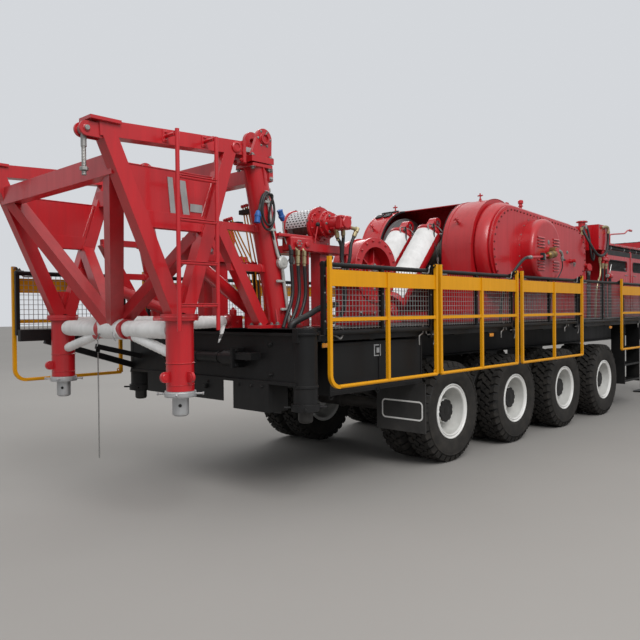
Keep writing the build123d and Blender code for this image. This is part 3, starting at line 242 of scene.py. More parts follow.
road_dust, given, gives = group("road dust", [("Amount", VALUE, 0.3), ("Height", VALUE, 0.9),
    ("Scale", VALUE, 3.0)], [("Mask", VALUE)])
shape = put(road_dust, "NewGeometry")
place = put(road_dust, "TexCoord").outputs["Object"]
level = put(road_dust, "SeparateXYZ", {"Vector": shape.outputs["Normal"]})
lying = ramp(road_dust, level.outputs["Z"], 0.35, 1.0)
high = put(road_dust, "SeparateXYZ", {"Vector": place})
low_down = ramp(road_dust, high.outputs["Z"], given["Height"], 0.0)
cloud = put(road_dust, "TexNoise", {"Vector": place, "Scale": given["Scale"], "Detail": 6.0,
    "Roughness": 0.65})
thin = ramp(road_dust, cloud, 0.32, 0.75)
most = work_out(road_dust, "ADD", lying, low_down)
film = work_out(road_dust, "ADD", most, 0.16)
laid = work_out(road_dust, "MULTIPLY", film, thin)
amount = work_out(road_dust, "MULTIPLY", laid, given["Amount"], use_clamp=True)
plug(road_dust, gives, {"Mask": amount})

coat_film, given, gives = group("sprayed coat", [("Colour", TINT, (0.5, 0.5, 0.5, 1)), ("Fade", VALUE, 0.15),
    ("Roughness", VALUE, 0.3), ("Scale", VALUE, 1.2)], [("Colour", TINT), ("Roughness", VALUE),
    ("Height", VALUE)])
place = put(coat_film, "TexCoord").outputs["Object"]
broad = put(coat_film, "TexNoise", {"Vector": place, "Scale": given["Scale"], "Detail": 3.0})
runs = put(coat_film, "TexNoise", {"Vector": put(coat_film, "Mapping",
    {"Vector": place, "Scale": (16, 16, 1.1)}), "Scale": 1.0, "Detail": 5.0, "Roughness": 0.7})
mixed = work_out(coat_film, "ADD", broad, runs)
swing = ramp(coat_film, mixed, 0.75, 1.3)
share = work_out(coat_film, "MULTIPLY", swing, given["Fade"])
darker = blend(coat_film, share, given["Colour"], (0.0, 0.0, 0.0, 1))
paler = ramp(coat_film, broad, 0.55, 0.8, 0.0, 0.012)
chalky = blend(coat_film, paler, darker, (0.8, 0.78, 0.76, 1))
peel = put(coat_film, "TexNoise", {"Vector": place, "Scale": 140.0, "Detail": 2.0})
dull = work_out(coat_film, "MULTIPLY", swing, 0.16)
sheen = work_out(coat_film, "ADD", dull, given["Roughness"])
plug(coat_film, gives, {"Colour": chalky, "Roughness": sheen, "Height": peel})


def coated(name, colour, roughness=0.42, metal=0.0, clear=0.0, fade=0.3, under=(0.1, 0.085, 0.075), wear=0.5,
        edge=0.004, dust=0.3, high=0.8, grime=(0.2, 0.175, 0.145), bump=0.08, scale=6, gloss=0.5):
    """A sprayed or bare metal skin with its fading, worn edges and road dust."""
    finish, tree, shader = coat(name)
    skin, rim, dirt = [put(tree, "Group", node_tree=effect) for effect in (coat_film, worn_edges, road_dust)]
    plug(tree, skin, {"Colour": (*colour, 1), "Fade": fade, "Roughness": roughness, "Scale": scale})
    plug(tree, rim, {"Width": edge, "Wear": wear})
    plug(tree, dirt, {"Amount": dust, "Height": high})
    chipped = blend(tree, rim.outputs["Mask"], skin.outputs["Colour"], (*under, 1))
    dusty = blend(tree, dirt.outputs["Mask"], chipped, (*grime, 1))
    matt = put(tree, "Mix", {"Factor": dirt.outputs["Mask"], "A": skin.outputs["Roughness"], "B": 0.9})
    relief = put(tree, "Bump", {"Height": skin.outputs["Height"], "Normal": rim.outputs["Normal"],
        "Strength": bump, "Distance": 0.002})
    plug(tree, shader, {"Base Color": dusty, "Metallic": metal, "Roughness": matt,
        "Specular IOR Level": gloss, "Coat Weight": clear, "Coat Roughness": 0.12, "Normal": relief})
    return finish


zinc_steel = coated("zinc plated steel", (0.46, 0.46, 0.45), 0.38, metal=0.85, fade=0.45,
    under=(0.12, 0.07, 0.045), wear=0.9, edge=0.0015, dust=0.5, scale=9)
count = int((chain_top[2] - chain_low) / chain_pitch)
for i in range(count):
    middle = Vector((chain_top[0], chain_top[1], chain_top[2] - chain_pitch * (i + 0.5)))
    across = Vector((1, 0.25, 0)).normalized() if i % 2 else Vector((-0.25, 1, 0)).normalized()
    loop, wire = [], 0.0026
    for k in range(16):
        turn = 2 * pi * k / 16
        loop.append(middle + across * 0.0062 * cos(turn) + UP
            * (0.0065 * sin(turn) + copysign(0.0085, sin(turn)) * min(1, abs(sin(turn)) * 4)))
    rings = []
    for k in range(16):
        ahead_by = (loop[(k + 1) % 16] - loop[k - 1]).normalized()
        outward = ahead_by.cross(across.cross(UP)).normalized()
        rings.append(circle(loop[k], outward, ahead_by.cross(outward), wire, 6))
    cover(rings, looped=True, ends=False)
chain = piece("chain_links", zinc_steel, angle=60)
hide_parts("hanging_chain")

# Trailer frame, deck and rear beam
# Welded steel rails, cross members and deck plate, sprayed satin black and dusty from the road.
# The deck plate is folded over the edge channels, and bolted brackets stand on the rear beam.


def dress(material, *nodes):
    """Gives CAD nodes their finish."""
    for node in nodes:
        cad[node].data.materials.clear()
        cad[node].data.materials.append(material)


def axes(way):
    """Gives a direction at length one, with the two that stand square to it."""
    way = Vector(way).normalized()
    side = (way.orthogonal() if abs(way.z) > 0.99 else way.cross(UP)).normalized()
    return way, side, way.cross(side)


def turned(base, way, outline, sides=24, finish=0):
    """Adds a turned form: outline is (distance along way, radius) from end to end."""
    way, side, other = axes(way)
    cover([circle(Vector(base) + way * d, side, other, radius, sides) for d, radius in outline], finish)


def pipe(start, end, radius, sides=16, finish=0):
    """Adds a round bar or tube between two points, with its ends eased."""
    way, ease = Vector(end) - Vector(start), min(radius * 0.15, 0.004)
    turned(start, way, [(0, radius - ease), (ease, radius), (way.length - ease, radius),
        (way.length, radius - ease)], sides, finish)


def slab(low, high, ease=0.003, finish=0):
    """Adds a plate or block between two corners, with its edges eased."""
    low, high = Vector(map(min, low, high)), Vector(map(max, low, high))
    made = bmesh.ops.create_cube(work, size=1, matrix=Matrix.Translation((low + high) / 2)
        @ Matrix.Diagonal((*(high - low), 1)))
    edges = {edge for vert in made["verts"] for edge in vert.link_edges}
    ease = min(ease, min(high - low) * 0.3)
    done = bmesh.ops.bevel(work, geom=list(edges), offset=ease, segments=1, affect="EDGES",
        clamp_overlap=True)
    for face in {face for vert in done["verts"] for face in vert.link_faces} | set(done["faces"]):
        face.material_index = finish


def bolt(base, way, across=0.024, finish=0, tall=None):
    """Adds a hexagon head on its washer, with the bolt's end showing."""
    tall = tall or across * 0.55
    washer = across * 0.12
    turned(base, way, [(0, across * 0.85), (washer, across * 0.85)], 18, finish)
    turned(base, way, [(washer, across * 0.52), (tall, across * 0.55), (tall + across * 0.08, across * 0.46)],
        6, finish)
    turned(base, way, [(tall, across * 0.26), (tall + across * 0.22, across * 0.24)], 10, finish)


def bolts(xs, ys, zs, way, across=0.024, finish=0):
    """Sets a bolt at every crossing of the given places; one place may stand as a plain number."""
    for spot in itertools.product(*(places if isinstance(places, tuple) else (places,)
            for places in (xs, ys, zs))):
        bolt(spot, way, across, finish)


def bolt_square(centre, half, way, across=0.024, finish=0, tall=None):
    """Sets bolts at the corners of a rectangle, given its middle and its half sizes along the three axes."""
    for signs in itertools.product(*((-1, 1) if size else (0,) for size in half)):
        bolt([c + sign * size for c, sign, size in zip(centre, signs, half)], way, across, finish, tall)


def bolt_ring(centre, way, radius, count, across=0.024, finish=0, first=0.0):
    """Sets bolts evenly round a circle; first is the place of the first one, as a share of the pitch."""
    flat = [axis for axis in range(3) if not way[axis]]
    for k in range(count):
        turn, spot = 2 * pi * (k + first) / count, list(centre)
        spot[flat[0]] += radius * cos(turn)
        spot[flat[1]] += radius * sin(turn)
        bolt(spot, way, across, finish)


black_steel = coated("satin black frame paint", (0.0085, 0.0087, 0.0092), 0.34, fade=0.1,
    under=(0.05, 0.035, 0.03), wear=0.7, edge=0.005, dust=0.22, high=1.1, grime=(0.075, 0.068, 0.06),
    scale=1.2, gloss=0.22)
dress(black_steel, "chassis")
# columns: place on the rear beam's back face, and head size
for y, z, across in ((-0.6, 1.3, 0.03), (-0.6, 1.17, 0.03), (-0.735, 1.275, 0.024), (-0.735, 1.235, 0.024),
        (0.3, 1.36, 0.03), (0.62, 1.36, 0.03), (0.3, 1.1, 0.03), (0.62, 1.1, 0.03), (-0.95, 1.36, 0.03),
        (-0.95, 1.1, 0.03)):
    x = -5.262 if y < -0.5 and y > -0.8 else -5.176
    bolt((x, y, z), BACK, across)
for y in (-0.4, -0.3, 0.02, 0.3, 0.56):
    turned((-5.22, y - 0.02, 1.23), FAR, [(0, 0.05), (0.004, 0.054), (0.036, 0.054), (0.04, 0.05)])
pipe((-5.201, -0.08, 0.95), (-5.235, -0.08, 0.95), 0.022)
bolts(-5.2, (-0.86, -0.72, -0.55, -0.1, 0.25, 0.6), 0.995, BACK, 0.02)
for x in [-5.1 + 0.36 * i for i in range(27)]:
    for side in (-1, 1):
        bolt((x, side * 1.3, 1.435), (0, side, 0), 0.018)
piece("rear_beam_fittings", black_steel)

# Marker lamps
# Small amber side lamps hang on brackets under the deck edge.
# Each is a moulded base with a ribbed, slightly domed lens clipped over it.
lens_amber, tree, shader = coat("amber lamp lens")
place = put(tree, "TexCoord").outputs["Object"]
ribs = put(tree, "TexWave", {"Vector": place, "Scale": 60.0, "Distortion": 0.3}, bands_direction="X")
glow = blend(tree, ribs.outputs["Fac"], (0.62, 0.19, 0.008, 1), (0.85, 0.36, 0.03, 1))
raised = put(tree, "Bump", {"Height": ribs.outputs["Fac"], "Strength": 0.5, "Distance": 0.002})
plug(tree, shader, {"Base Color": glow, "Roughness": 0.18, "Coat Weight": 0.6, "Normal": raised})
for side in (-1, 1):
    for station in (-4.88, -2.07, 1.61):
        face = side * 1.3004
        slab((station - 0.045, face, 1.327), (station + 0.045, face + side * 0.008, 1.372), 0.003, 1)
        slab((station - 0.041, face + side * 0.008, 1.33), (station + 0.041, face + side * 0.024, 1.369),
            0.006)
lamps = piece("side_marker_lamps", [lens_amber, black_steel])
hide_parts("marker_lamps")

# Axles, springs and hangers
# Tube axles sit on long leaf springs between cast hangers, held by clamp plates with long bolts.
# The springs are stacks of flat leaves, each one shorter than the one above it.
spring_steel = coated("dusty black spring steel", (0.016, 0.016, 0.017), 0.5, fade=0.2,
    under=(0.07, 0.035, 0.02), wear=0.9, dust=0.8, high=1.6, grime=(0.12, 0.105, 0.09), scale=1.2)
dress(spring_steel, "running_gear")
axles_x, axle_z = [-2.8 + 1.44 * i for i in range(4)], 0.545
for x in axles_x:
    for side in (-1, 1):
        y = side * 0.48
        for leaf in range(5):
            half, z = 0.52 - 0.095 * leaf, 0.634 - 0.0125 * leaf
            ends = [(half * share, (half * share) ** 2 * 0.36) for share in (-1, -0.5, 0, 0.5, 1)]
            cover([[(x + dx, y + dy, z + dz + rise) for dy, dz in ((-0.043, 0), (0.043, 0), (0.043, -0.0105),
                (-0.043, -0.0105))] for dx, rise in ends])
        for dx in (-0.05, 0.05):
            for dy in (-0.052, 0.052):
                pipe((x + dx, y + dy, 0.5), (x + dx, y + dy, 0.745), 0.011, 10)
                bolt((x + dx, y + dy, 0.735), UP, 0.032)
        turned((x, side * 0.3, axle_z), (0, side, 0), [(0, 0.075), (0.02, 0.088), (0.05, 0.088),
            (0.07, 0.075)])
piece("leaf_springs", spring_steel)

# Twin wheels
# Block-tread truck tyres on deep dished steel rims, two to a hub, with the outer rim enamelled white.
# The hub stands in the dish on short ribs, under a black cover plate with ten scallops in its edge.
rubber, tree, shader = coat("dusty tyre rubber")
place = put(tree, "TexCoord").outputs["Object"]
smears = put(tree, "TexNoise", {"Vector": place, "Scale": 7.0, "Detail": 8.0, "Roughness": 0.7})
grit = put(tree, "TexNoise", {"Vector": place, "Scale": 190.0, "Detail": 3.0})
laid = ramp(tree, smears, 0.3, 0.75)
tone = blend(tree, laid, (0.012, 0.0118, 0.0115, 1), (0.044, 0.039, 0.034, 1))
matt = ramp(tree, smears, 0.0, 1.0, 0.62, 0.95)
relief = put(tree, "Bump", {"Height": grit, "Strength": 0.35, "Distance": 0.002})
plug(tree, shader, {"Base Color": tone, "Roughness": matt, "Normal": relief, "Specular IOR Level": 0.25})
rim_white = coated("white rim enamel", (0.8, 0.795, 0.77), 0.3, clear=0.3, fade=0.1, under=(0.35, 0.3, 0.24),
    edge=0.003, dust=0.1, high=0.9, grime=(0.34, 0.31, 0.26), scale=4)
# The dish, the inner rim, the hub's ribs and its big bolts take a greyer copy of the white enamel: partly
# road dust, partly painted shade for the deep dish.
dish_dust_and_shade_grey = coated("rim enamel with dust and painted shade", (0.66, 0.66, 0.635), fade=0.2, under=(0.3, 0.25, 0.2), wear=0.4,
    edge=0.003, dust=0.25, high=0.9, grime=(0.3, 0.28, 0.24), scale=4)


def lathe(outline, sides=72, finish=0):
    """Adds an open skin turned about the wheel's own axis: outline is (distance along the axle, radius)."""
    cover([circle(Vector((0, y, 0)), UP, AHEAD, r, sides) for y, r in outline], finish, ends=False)


wall = [(0.112, 0.292), (0.127, 0.306), (0.133, 0.318), (0.1365, 0.322), (0.1385, 0.335), (0.1465, 0.372),
    (0.1485, 0.405), (0.1475, 0.444), (0.145, 0.462), (0.1475, 0.466), (0.147, 0.471), (0.143, 0.476)]
tread_floor = [(0.143, 0.476), (0.132, 0.486), (0.118, 0.503), (0.1, 0.5175), (0.062, 0.5215)]
pitches = 33
for middle in (0.775, 1.12):
    for way in (-1, 1):
        lathe([(middle + way * y, r) for y, r in wall[::way]], 96)
    lathe([(middle - y, r) for y, r in tread_floor] + [(middle + y, r) for y, r in tread_floor[::-1]], 96, 3)
    # columns: middle of the row, half width, share of a pitch it is turned by, slant, zigzag,
    # side of the shoulder
    for row, half, turn, slant, zigzag, shoulder in ((-0.092, 0.026, 0.0, -0.1, 0.006, -1),
            (-0.031, 0.0255, 0.5, 0.16, 0.011, 0), (0.031, 0.0255, 0.0, 0.16, 0.011, 0),
            (0.092, 0.026, 0.5, -0.1, 0.006, 1)):
        for i in range(pitches):
            low_ring, top_ring = [], []
            for u, v, bend in ((-0.39, -1, 1), (0, -1, -1), (0.39, -1, 1), (0.39, 1, 1), (0, 1, -1),
                    (-0.39, 1, 1)):
                a = 2 * pi * (i + turn + u + slant * v) / pitches
                y = row + half * v + zigzag * bend
                edge_out = shoulder and v == shoulder
                crown = 0.5447 - 0.42 * y * y
                b = a + (0.02 if u < 0 else -0.02 if u > 0 else 0) / 3
                low_y, low_r = (shoulder * 0.1425, 0.484) if edge_out else (y + 0.003 * v, 0.519)
                low_ring.append((low_r * sin(a), middle + low_y, low_r * cos(a)))
                top_ring.append((crown * sin(b), middle + y, crown * cos(b)))
            work.faces.new(cover([low_ring, top_ring], ends=False)[1])
lathe([(1.228, 0.262), (1.232, 0.292), (1.24, 0.2975), (1.249, 0.2965), (1.2505, 0.288), (1.243, 0.281),
    (1.236, 0.277), (1.236, 0.27), (1.243, 0.267), (1.245, 0.259), (1.24, 0.253), (1.226, 0.249)], finish=1)
lathe([(1.226, 0.249), (1.19, 0.246), (1.13, 0.24), (1.075, 0.228), (1.03, 0.208), (0.995, 0.18),
    (0.978, 0.155), (0.972, 0.128)], finish=2)
lathe([(0.64, 0.262), (0.636, 0.292), (0.64, 0.2975), (0.648, 0.297), (0.655, 0.285), (0.665, 0.262),
    (0.7, 0.254), (0.9, 0.25), (0.925, 0.235), (0.93, 0.128)], finish=2)
lathe([(0.88, 0.262), (0.9, 0.272), (1.0, 0.272), (1.02, 0.262)], finish=2)
turned((0, 0.7, 0), FAR, [(0, 0.126), (0.01, 0.134), (0.34, 0.134), (0.35, 0.128), (0.452, 0.127),
    (0.456, 0.12)], 48, 1)
for i in range(10):
    a = radians(72 * (i // 2) + (6 if i % 2 else -6) + 24)
    out_way = Vector((sin(a), 0, cos(a)))
    across = Vector((cos(a), 0, -sin(a))) * 0.004
    corners = [out_way * r + Vector((0, y, 0)) for r, y in ((0.125, 1.13), (0.215, 1.045), (0.19, 1.0),
        (0.125, 0.975))]
    cover([[c + across * way for c in corners] for way in (-1, 1)], 2)
for i in range(10):
    a = radians(36 * i + 18)
    bolt((0.168 * sin(a), 0.976, 0.168 * cos(a)), FAR, 0.032, 2, 0.03)
    bolt((0.1 * sin(a), 1.172, 0.1 * cos(a)), FAR, 0.012, 3, 0.003)
rings = [[], [], []]
for i in range(160):
    a = 2 * pi * i / 160
    off = (degrees(a) % 36 - 18) / 18
    notch = max(0.0, 1 - (off / 0.42) ** 2) ** 0.5 * 0.0125
    for ring, y, inset in zip(rings, (1.154, 1.17, 1.174), (0, 0, 0.004)):
        r = 0.1245 - notch - inset
        ring.append((r * sin(a), y, r * cos(a)))
work.faces.new(cover(rings, 3, ends=False)[2]).material_index = 3
turned((0, 1.172, 0), FAR, [(0, 0.05), (0.002, 0.05), (0.0035, 0.046)], 32, 3)
pattern = piece("wheel_pattern", [rubber, rim_white, dish_dust_and_shade_grey, black_steel], angle=30)
for i, x in enumerate(axles_x):
    for side_name, turn in (("near", pi), ("far", 0)):
        pair = bpy.data.objects.new(f"twin_wheel_{i + 1}_{side_name}", pattern.data)
        pair.matrix_world = Matrix.Translation((x, 0, axle_z)) @ Matrix.Rotation(turn, 4,
            "Z") @ (Matrix.Rotation(radians(90 * i), 4, "Y"))
        scene.collection.objects.link(pair)
        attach(pair, f"wheel_{i + 1}_{side_name}")
        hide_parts(f"wheel_{i + 1}_{side_name}")
bpy.data.objects.remove(pattern)

# Jack columns, parking legs, steps
# The rear columns and the neck's legs are black steel tubes with bright sliding legs inside them.
# Ring nuts with round bar handles lock the legs, and the steps are bent plate on two side bars.
dress(black_steel, "parking_legs", "steps")
ground_steel = coated("pale ground steel", (0.52, 0.525, 0.53), 0.32, metal=0.6, under=(0.2, 0.13, 0.09),
    edge=0.003, dust=0.25, high=1.0, grime=(0.3, 0.27, 0.23))
oiled_steel = coated("oiled black steel", (0.03, 0.029, 0.028), 0.36, metal=0.5, under=(0.2, 0.19, 0.18),
    bump=0.1, scale=3)
dress(oiled_steel, "jack_leg_near", "jack_leg_far")
for side in (-1, 1):
    turned((-5.075, side * 1.264, 1.0), UP, [(0, 0.106), (0.004, 0.112), (0.022, 0.112), (0.026, 0.106)], 40)
    turned((-5.075, side * 1.264, 1.44), UP, [(0, 0.106), (0.004, 0.125), (0.02, 0.125), (0.024, 0.106)], 40)
    for level in (0.45, 0.72, 0.99):
        for i in range(11):
            x = 2.5 + 0.06 * i
            slab((x, side * 1.03, level - 0.0005), (x + 0.012, side * 1.23, level + 0.004), 0.001)
piece("column_rings_and_treads", black_steel)

# Tool boxes and mud flaps
# Folded sheet boxes hang from the frame, with two lift-off doors each, a bright latch and drain rings.
# The rubber flap ahead of the wheels carries a painted white outline with nothing inside it.
dress(black_steel, "tool_boxes")
for side in (-1, 1):
    face = side * 1.2505
    for x in (-4.75, -4.1, -3.38):
        turned((x, face, 0.905), (0, side, 0), [(0, 0.012), (0.006, 0.012)], 14, 1)
        for k in range(14):
            a = pi * k / 13
            pipe((x + 0.026 * cos(a), face + side * 0.004, 0.895 - 0.026 * sin(a)),
                (x + 0.026 * cos(a + 0.25), face + side * 0.004, 0.895 - 0.026 * sin(a + 0.25)), 0.004, 8, 1)
    for grow, out, finish in ((0.0, 0.005, 0), (-0.011, 0.0075, 1), (-0.03, 0.0145, 0)):
        slab((-4.148 - grow, face, 1.215 - grow), (-4.048 + grow, face + side * out, 1.325 + grow), 0.003,
            finish)
piece("box_latches", [ground_steel, black_steel])
for side in (-1, 1):
    for x in (-4.755, -4.07, -3.385):
        slab((x - 0.01, side * 1.25, 0.92), (x + 0.01, side * 1.256, 1.345), 0.002)
    for z in (0.93, 1.345):
        slab((-4.755, side * 1.25, z - 0.01), (-3.385, side * 1.2555, z + 0.01), 0.002)
piece("box_door_frames", black_steel)
flap_rubber = coated("black flap rubber", (0.018, 0.018, 0.018), 0.6, fade=0.1, under=(0.03, 0.03, 0.03),
    wear=0.3, edge=0.002, dust=0.6, high=0.9, grime=(0.1, 0.09, 0.08), scale=1.2)
dress(flap_rubber, "mud_flaps")
for side in (-1, 1):
    for x, way in ((-3.4725, -1), (-3.4595, 1)):
        outer, inner = [], []
        for k in range(40):
            a = 2 * pi * k / 40
            corner = (copysign(1, cos(a)), copysign(1, sin(a)))
            for ring, half, tall, round_by in ((outer, 0.26, 0.1, 0.048), (inner, 0.244, 0.084, 0.032)):
                y = corner[0] * (half - round_by) + round_by * cos(a)
                z = corner[1] * (tall - round_by) + round_by * sin(a)
                ring.append((x + way * 0.0006, side * (1.07 + y), 0.622 + z))
        cover([outer, inner], ends=False)
piece("flap_outlines", rim_white)


# Base frame behind the trailer
# Square and round steel tube welded into V trusses with web plates, sprayed gloss red.
# Ladder, lifting bolts, bolted flanges and weld seams are steel, mostly under the same red.
red_gloss = coated("gloss red enamel", (0.5, 0.0065, 0.0125), 0.26, clear=0.35, fade=0.26,
    under=(0.16, 0.03, 0.025), wear=0.35, dust=0.1, high=0.9, grime=(0.26, 0.17, 0.15), bump=0.05, scale=0.9)
dress(red_gloss, "base_frame")
column_x, column_y, chord_foot = -6.1, 0.95, 1.625
hook_x, strut_x, strut_y, rungs_z = -6.85, -5.262, 0.47, (1.69, 2.0, 2.31, 2.62)


def bead(base, way, radius, size=0.006, finish=0):
    """Adds a weld bead round a tube or boss."""
    turned(Vector(base) - Vector(way).normalized() * size, way,
        [(0, radius), (size * 0.5, radius + size * 0.8), (size * 1.2, radius + size), (size * 2, radius)], 36,
        finish)


def seam(start, end, size=0.006, finish=0):
    """Adds a weld bead along a straight joint, with its ripples."""
    start, way = Vector(start), Vector(end) - Vector(start)
    count = max(3, int(way.length / 0.03))
    turned(start, way, [(way.length * k / count, size * (1 + 0.18 * (k % 2))) for k in range(count + 1)], 6,
        finish)


for side in (-1, 1):
    y = side * column_y
    # columns: height of the ring on the foot tube, its radius, and the bead's size
    for z, radius, size in ((1.262, 0.105, 0.006), (1.1, 0.105, 0.004), (1.578, 0.105, 0.008)):
        bead((column_x, y, z), UP, radius, size)
    turned((column_x, y, 1.593), UP, [(0, 0.14), (0.004, 0.143), (0.018, 0.143), (0.022, 0.14)], 40)
    for face in (-0.0072, 0.0072):
        for top_x, top_z, inward in ((-6.7, 2.9, 1), (-5.62, 2.97, -1)):
            for z0, z1 in ((2.26, 2.7), (1.63, 1.85)):
                seam(*[(column_x + (top_x - column_x) * (z - chord_foot) / (top_z - chord_foot) + inward
                    * 0.061, y + face, z) for z in (z0, z1)])
        for z in (2.26, 2.7):
            x0 = column_x - 0.6 * (z - chord_foot) / 1.275 + 0.06
            x1 = column_x + 0.48 * (z - chord_foot) / 1.345 - 0.06
            seam((x0, y + face, z), (x1, y + face, z), 0.005)
    # lifting bolts that hang from the rear corners, with their pins and nuts
    turned((hook_x, y, 2.6), UP, [(0, 0.026), (0.004, 0.03), (0.022, 0.03), (0.026, 0.026)], 6, 1)
    turned((hook_x, y, 2.57), UP, [(0.005 * k, 0.0165 if k % 2 else 0.0145) for k in range(40)], 12, 1)
    pipe((hook_x, y, 2.76), (hook_x, y, 2.865), 0.02, 12, 1)
    pipe((hook_x, y - 0.026, 2.876), (hook_x, y + 0.026, 2.876), 0.034, 20, 1)
    pipe((hook_x, y - 0.062, 2.88), (hook_x, y + 0.062, 2.88), 0.018, 16, 1)
    for cheek in (-1, 1):
        bead((hook_x, y + cheek * 0.0445, 2.88), FAR, 0.022, 0.004)
    # bolted flange and the big bolt boss where the tie from the post begins
    bolts(-5.512, (y - 0.045, y + 0.045), (2.875, 2.94, 3.005), BACK)
    boss = y + side * 0.055
    turned((-5.575, boss, 2.965), (0, side, 0), [(0, 0.047), (0.01, 0.045), (0.016, 0.036), (0.017, 0.03),
        (0.009, 0.026), (0.009, 0.001)], 28)
    bead((-6.6, y, 2.962), UP, 0.03, 0.004)
    # ears: pin bosses round their holes
    for x, y0, way in ((-6.235, y - 0.012, NEAR), (-6.235, y + 0.012, FAR)):
        bead((x, y0, 1.16), way, 0.0245, 0.004)
    for x, way in ((-6.112, BACK), (-6.088, AHEAD)):
        bead((x, y + side * 0.135, 1.16), way, 0.0245, 0.004)
    # flange, clamp ring and pin where each strut meets its lug
    y = side * strut_y
    turned((strut_x, y, 1.56), AHEAD, [(0, 0.06), (0.003, 0.066), (0.011, 0.066), (0.012, 0.06)], 28)
    bolt_ring((strut_x, y, 1.56), BACK, 0.052, 6, 0.014, 0, 0.5)
    pipe((-5.19, y, 1.608), (-5.19, y, 1.664), 0.033, 24)
    bolt((-5.19, y, 1.664), UP, 0.026)
    # bolts on both faces of the lug
    for face in (-0.0605, 0.0605):
        bolt((-5.19, y + face, 1.55), (0, copysign(1, face), 0), 0.026)
# flat rung plates, stringer caps and the slanted brackets that hold the ladder to the chord
for z in rungs_z:
    slab((-6.235, -1.168, z + 0.01), (-5.895, -1.132, z + 0.017), 0.002)
for x in (-6.24, -5.89):
    turned((x, -1.15, 2.957), UP, [(0, 0.0165), (0.004, 0.013)], 16)
    for z in rungs_z:
        bead((x + (0.015 if x < -6 else -0.015), -1.15, z), AHEAD, 0.013, 0.004)
    chord = 2.9 + 0.07 * (x + 6.7) / 1.08
    slab((x - 0.018, -1.132, chord - 0.018), (x + 0.018, -1.126, chord + 0.018), 0.002)
    slab((x - 0.03, -1.011, chord - 0.045), (x + 0.03, -1.005, chord + 0.045), 0.002)
    bolt((x, -1.011, chord + 0.03), NEAR, 0.018)
    bolt((x, -1.011, chord - 0.03), NEAR, 0.018)
bolt_steel = coated("dull steel bolts", (0.4, 0.39, 0.375), 0.36, metal=0.8, fade=0.5,
    under=(0.14, 0.07, 0.04), wear=0.8, edge=0.002, scale=8)
piece("frame_welds_and_bolts", [red_gloss, bolt_steel])

# Bare plates on the near web
# Unpainted mill steel: two packing strips, a small plate and a blank tag are tacked to the near side.
mill_plate = coated("unpainted mill plate", (0.43, 0.425, 0.42), metal=0.35, fade=0.35,
    under=(0.2, 0.11, 0.07), edge=0.002, dust=0.2, scale=5)
# columns: lower rear corner, upper rear corner, width along the frame
for low, high, wide in (((-6.175, 2.375), (-6.2, 2.648), 0.044), ((-6.062, 2.38), (-6.098, 2.636), 0.057)):
    (x0, z0), (x1, z1) = low, high
    corners = [(x0, z0), (x0 + wide, z0), (x1 + wide, z1), (x1, z1)]
    cover([[(x, y, z) for x, z in corners] for y in (-0.9575, -0.9635)])
slab((-5.998, -0.9575, 2.408), (-5.884, -0.9635, 2.47), 0.002)
slab((-5.452, -0.966, 2.958), (-5.372, -0.9455, 2.998), 0.002)
piece("bare_web_plates", mill_plate)

# Base screws and ring nuts
# Machined steel screws stand in the foot tubes; each is locked by a ring nut with four round handles.
# A small cross hole near the screw's foot takes the bar that turns it.
near_and_far = ((-1, "near"), (1, "far"))
dress(ground_steel, "base_screw_near", "base_screw_far", "ring_nuts")
hole_shade_black = coated("painted hole shade", (0.006, 0.006, 0.006), 0.8, fade=0.1, wear=0.0, dust=0.05, scale=1.2)
for side, label in near_and_far:
    for way in ((-0.62, -0.78, 0), (0.62, 0.78, 0)):
        way = Vector(way).normalized()
        base = Vector((column_x, side * column_y, 0.945)) + way * 0.0605
        turned(base, way, [(0, 0.0175), (0.002, 0.0175), (0.003, 0.0165)], 20)
        # a near-black disc sunk in each cross hole: painted shade for the hole's depth
        turned(base, way, [(0.002, 0.013), (0.0034, 0.013)], 18, 1)
    for z in (0.875, 0.915, 1.0):
        bead((column_x, side * column_y, z), UP, 0.0612, 0.0018)
    piece(f"screw_hole_{label}", [ground_steel, hole_shade_black], f"base_screw_{label}")
for side in (-1, 1):
    for turn in range(4):
        angle = radians(45 + 90 * turn)
        way = Vector((cos(angle), sin(angle), 0))
        tip = Vector((column_x, side * column_y, 1.0291)) + way * 0.178
        turned(tip - way * 0.014, way, [(0, 0.008), (0.004, 0.0125), (0.012, 0.0125), (0.014, 0.009)], 16)
    turned((column_x, side * column_y, 1.012), UP, [(0, 0.118), (0.003, 0.121), (0.03, 0.121),
        (0.034, 0.118)], 48)
piece("nut_handles", ground_steel)

# Tubes still in their white wrapping
# Machined round tubes wound with woven white plastic strip, each turn lapping the last.
# The strip is torn at a collar and at a strut's end, where red paint shows and a tail hangs.
wrap_white = coated("woven white wrapping", (0.8, 0.8, 0.79), 0.6, fade=0.22, under=(0.62, 0.6, 0.57),
    wear=0.6, edge=0.006, high=1.0, grime=(0.45, 0.41, 0.36), bump=0.3, scale=3)


def wound(start, end, radius, strip=0.085, lap=0.0035, finish=0, ragged=0.0):
    """Adds a tube wound with overlapping strip; ragged lets its ends wander like torn cloth."""
    start, long = Vector(start), (Vector(end) - Vector(start)).length
    way, side, other = axes(Vector(end) - start)
    sides, rings = 36, []
    count = max(8, int(long / 0.012))
    for k in range(count + 1):
        ring = []
        for i in range(sides):
            turn = i / sides
            end_by = 1 - abs(2 * k / count - 1)
            wander = ragged * noise.noise(Vector((turn * 7, k // (count / 2 + 1), 3.1))) * max(0,
                1 - end_by * 4)
            along_by = long * k / count + wander
            step = (along_by / strip + turn) % 1
            puff = lap * step + 0.0012 * noise.noise(Vector((along_by * 21, turn * 9, radius * 90)))
            close = 0.004 * max(0, 1 - end_by * count / 3)
            spoke = side * cos(2 * pi * turn) + other * sin(2 * pi * turn)
            ring.append(start + way * along_by + spoke * (radius - 0.002 + puff - close))
        rings.append(ring)
    cover(rings, finish)


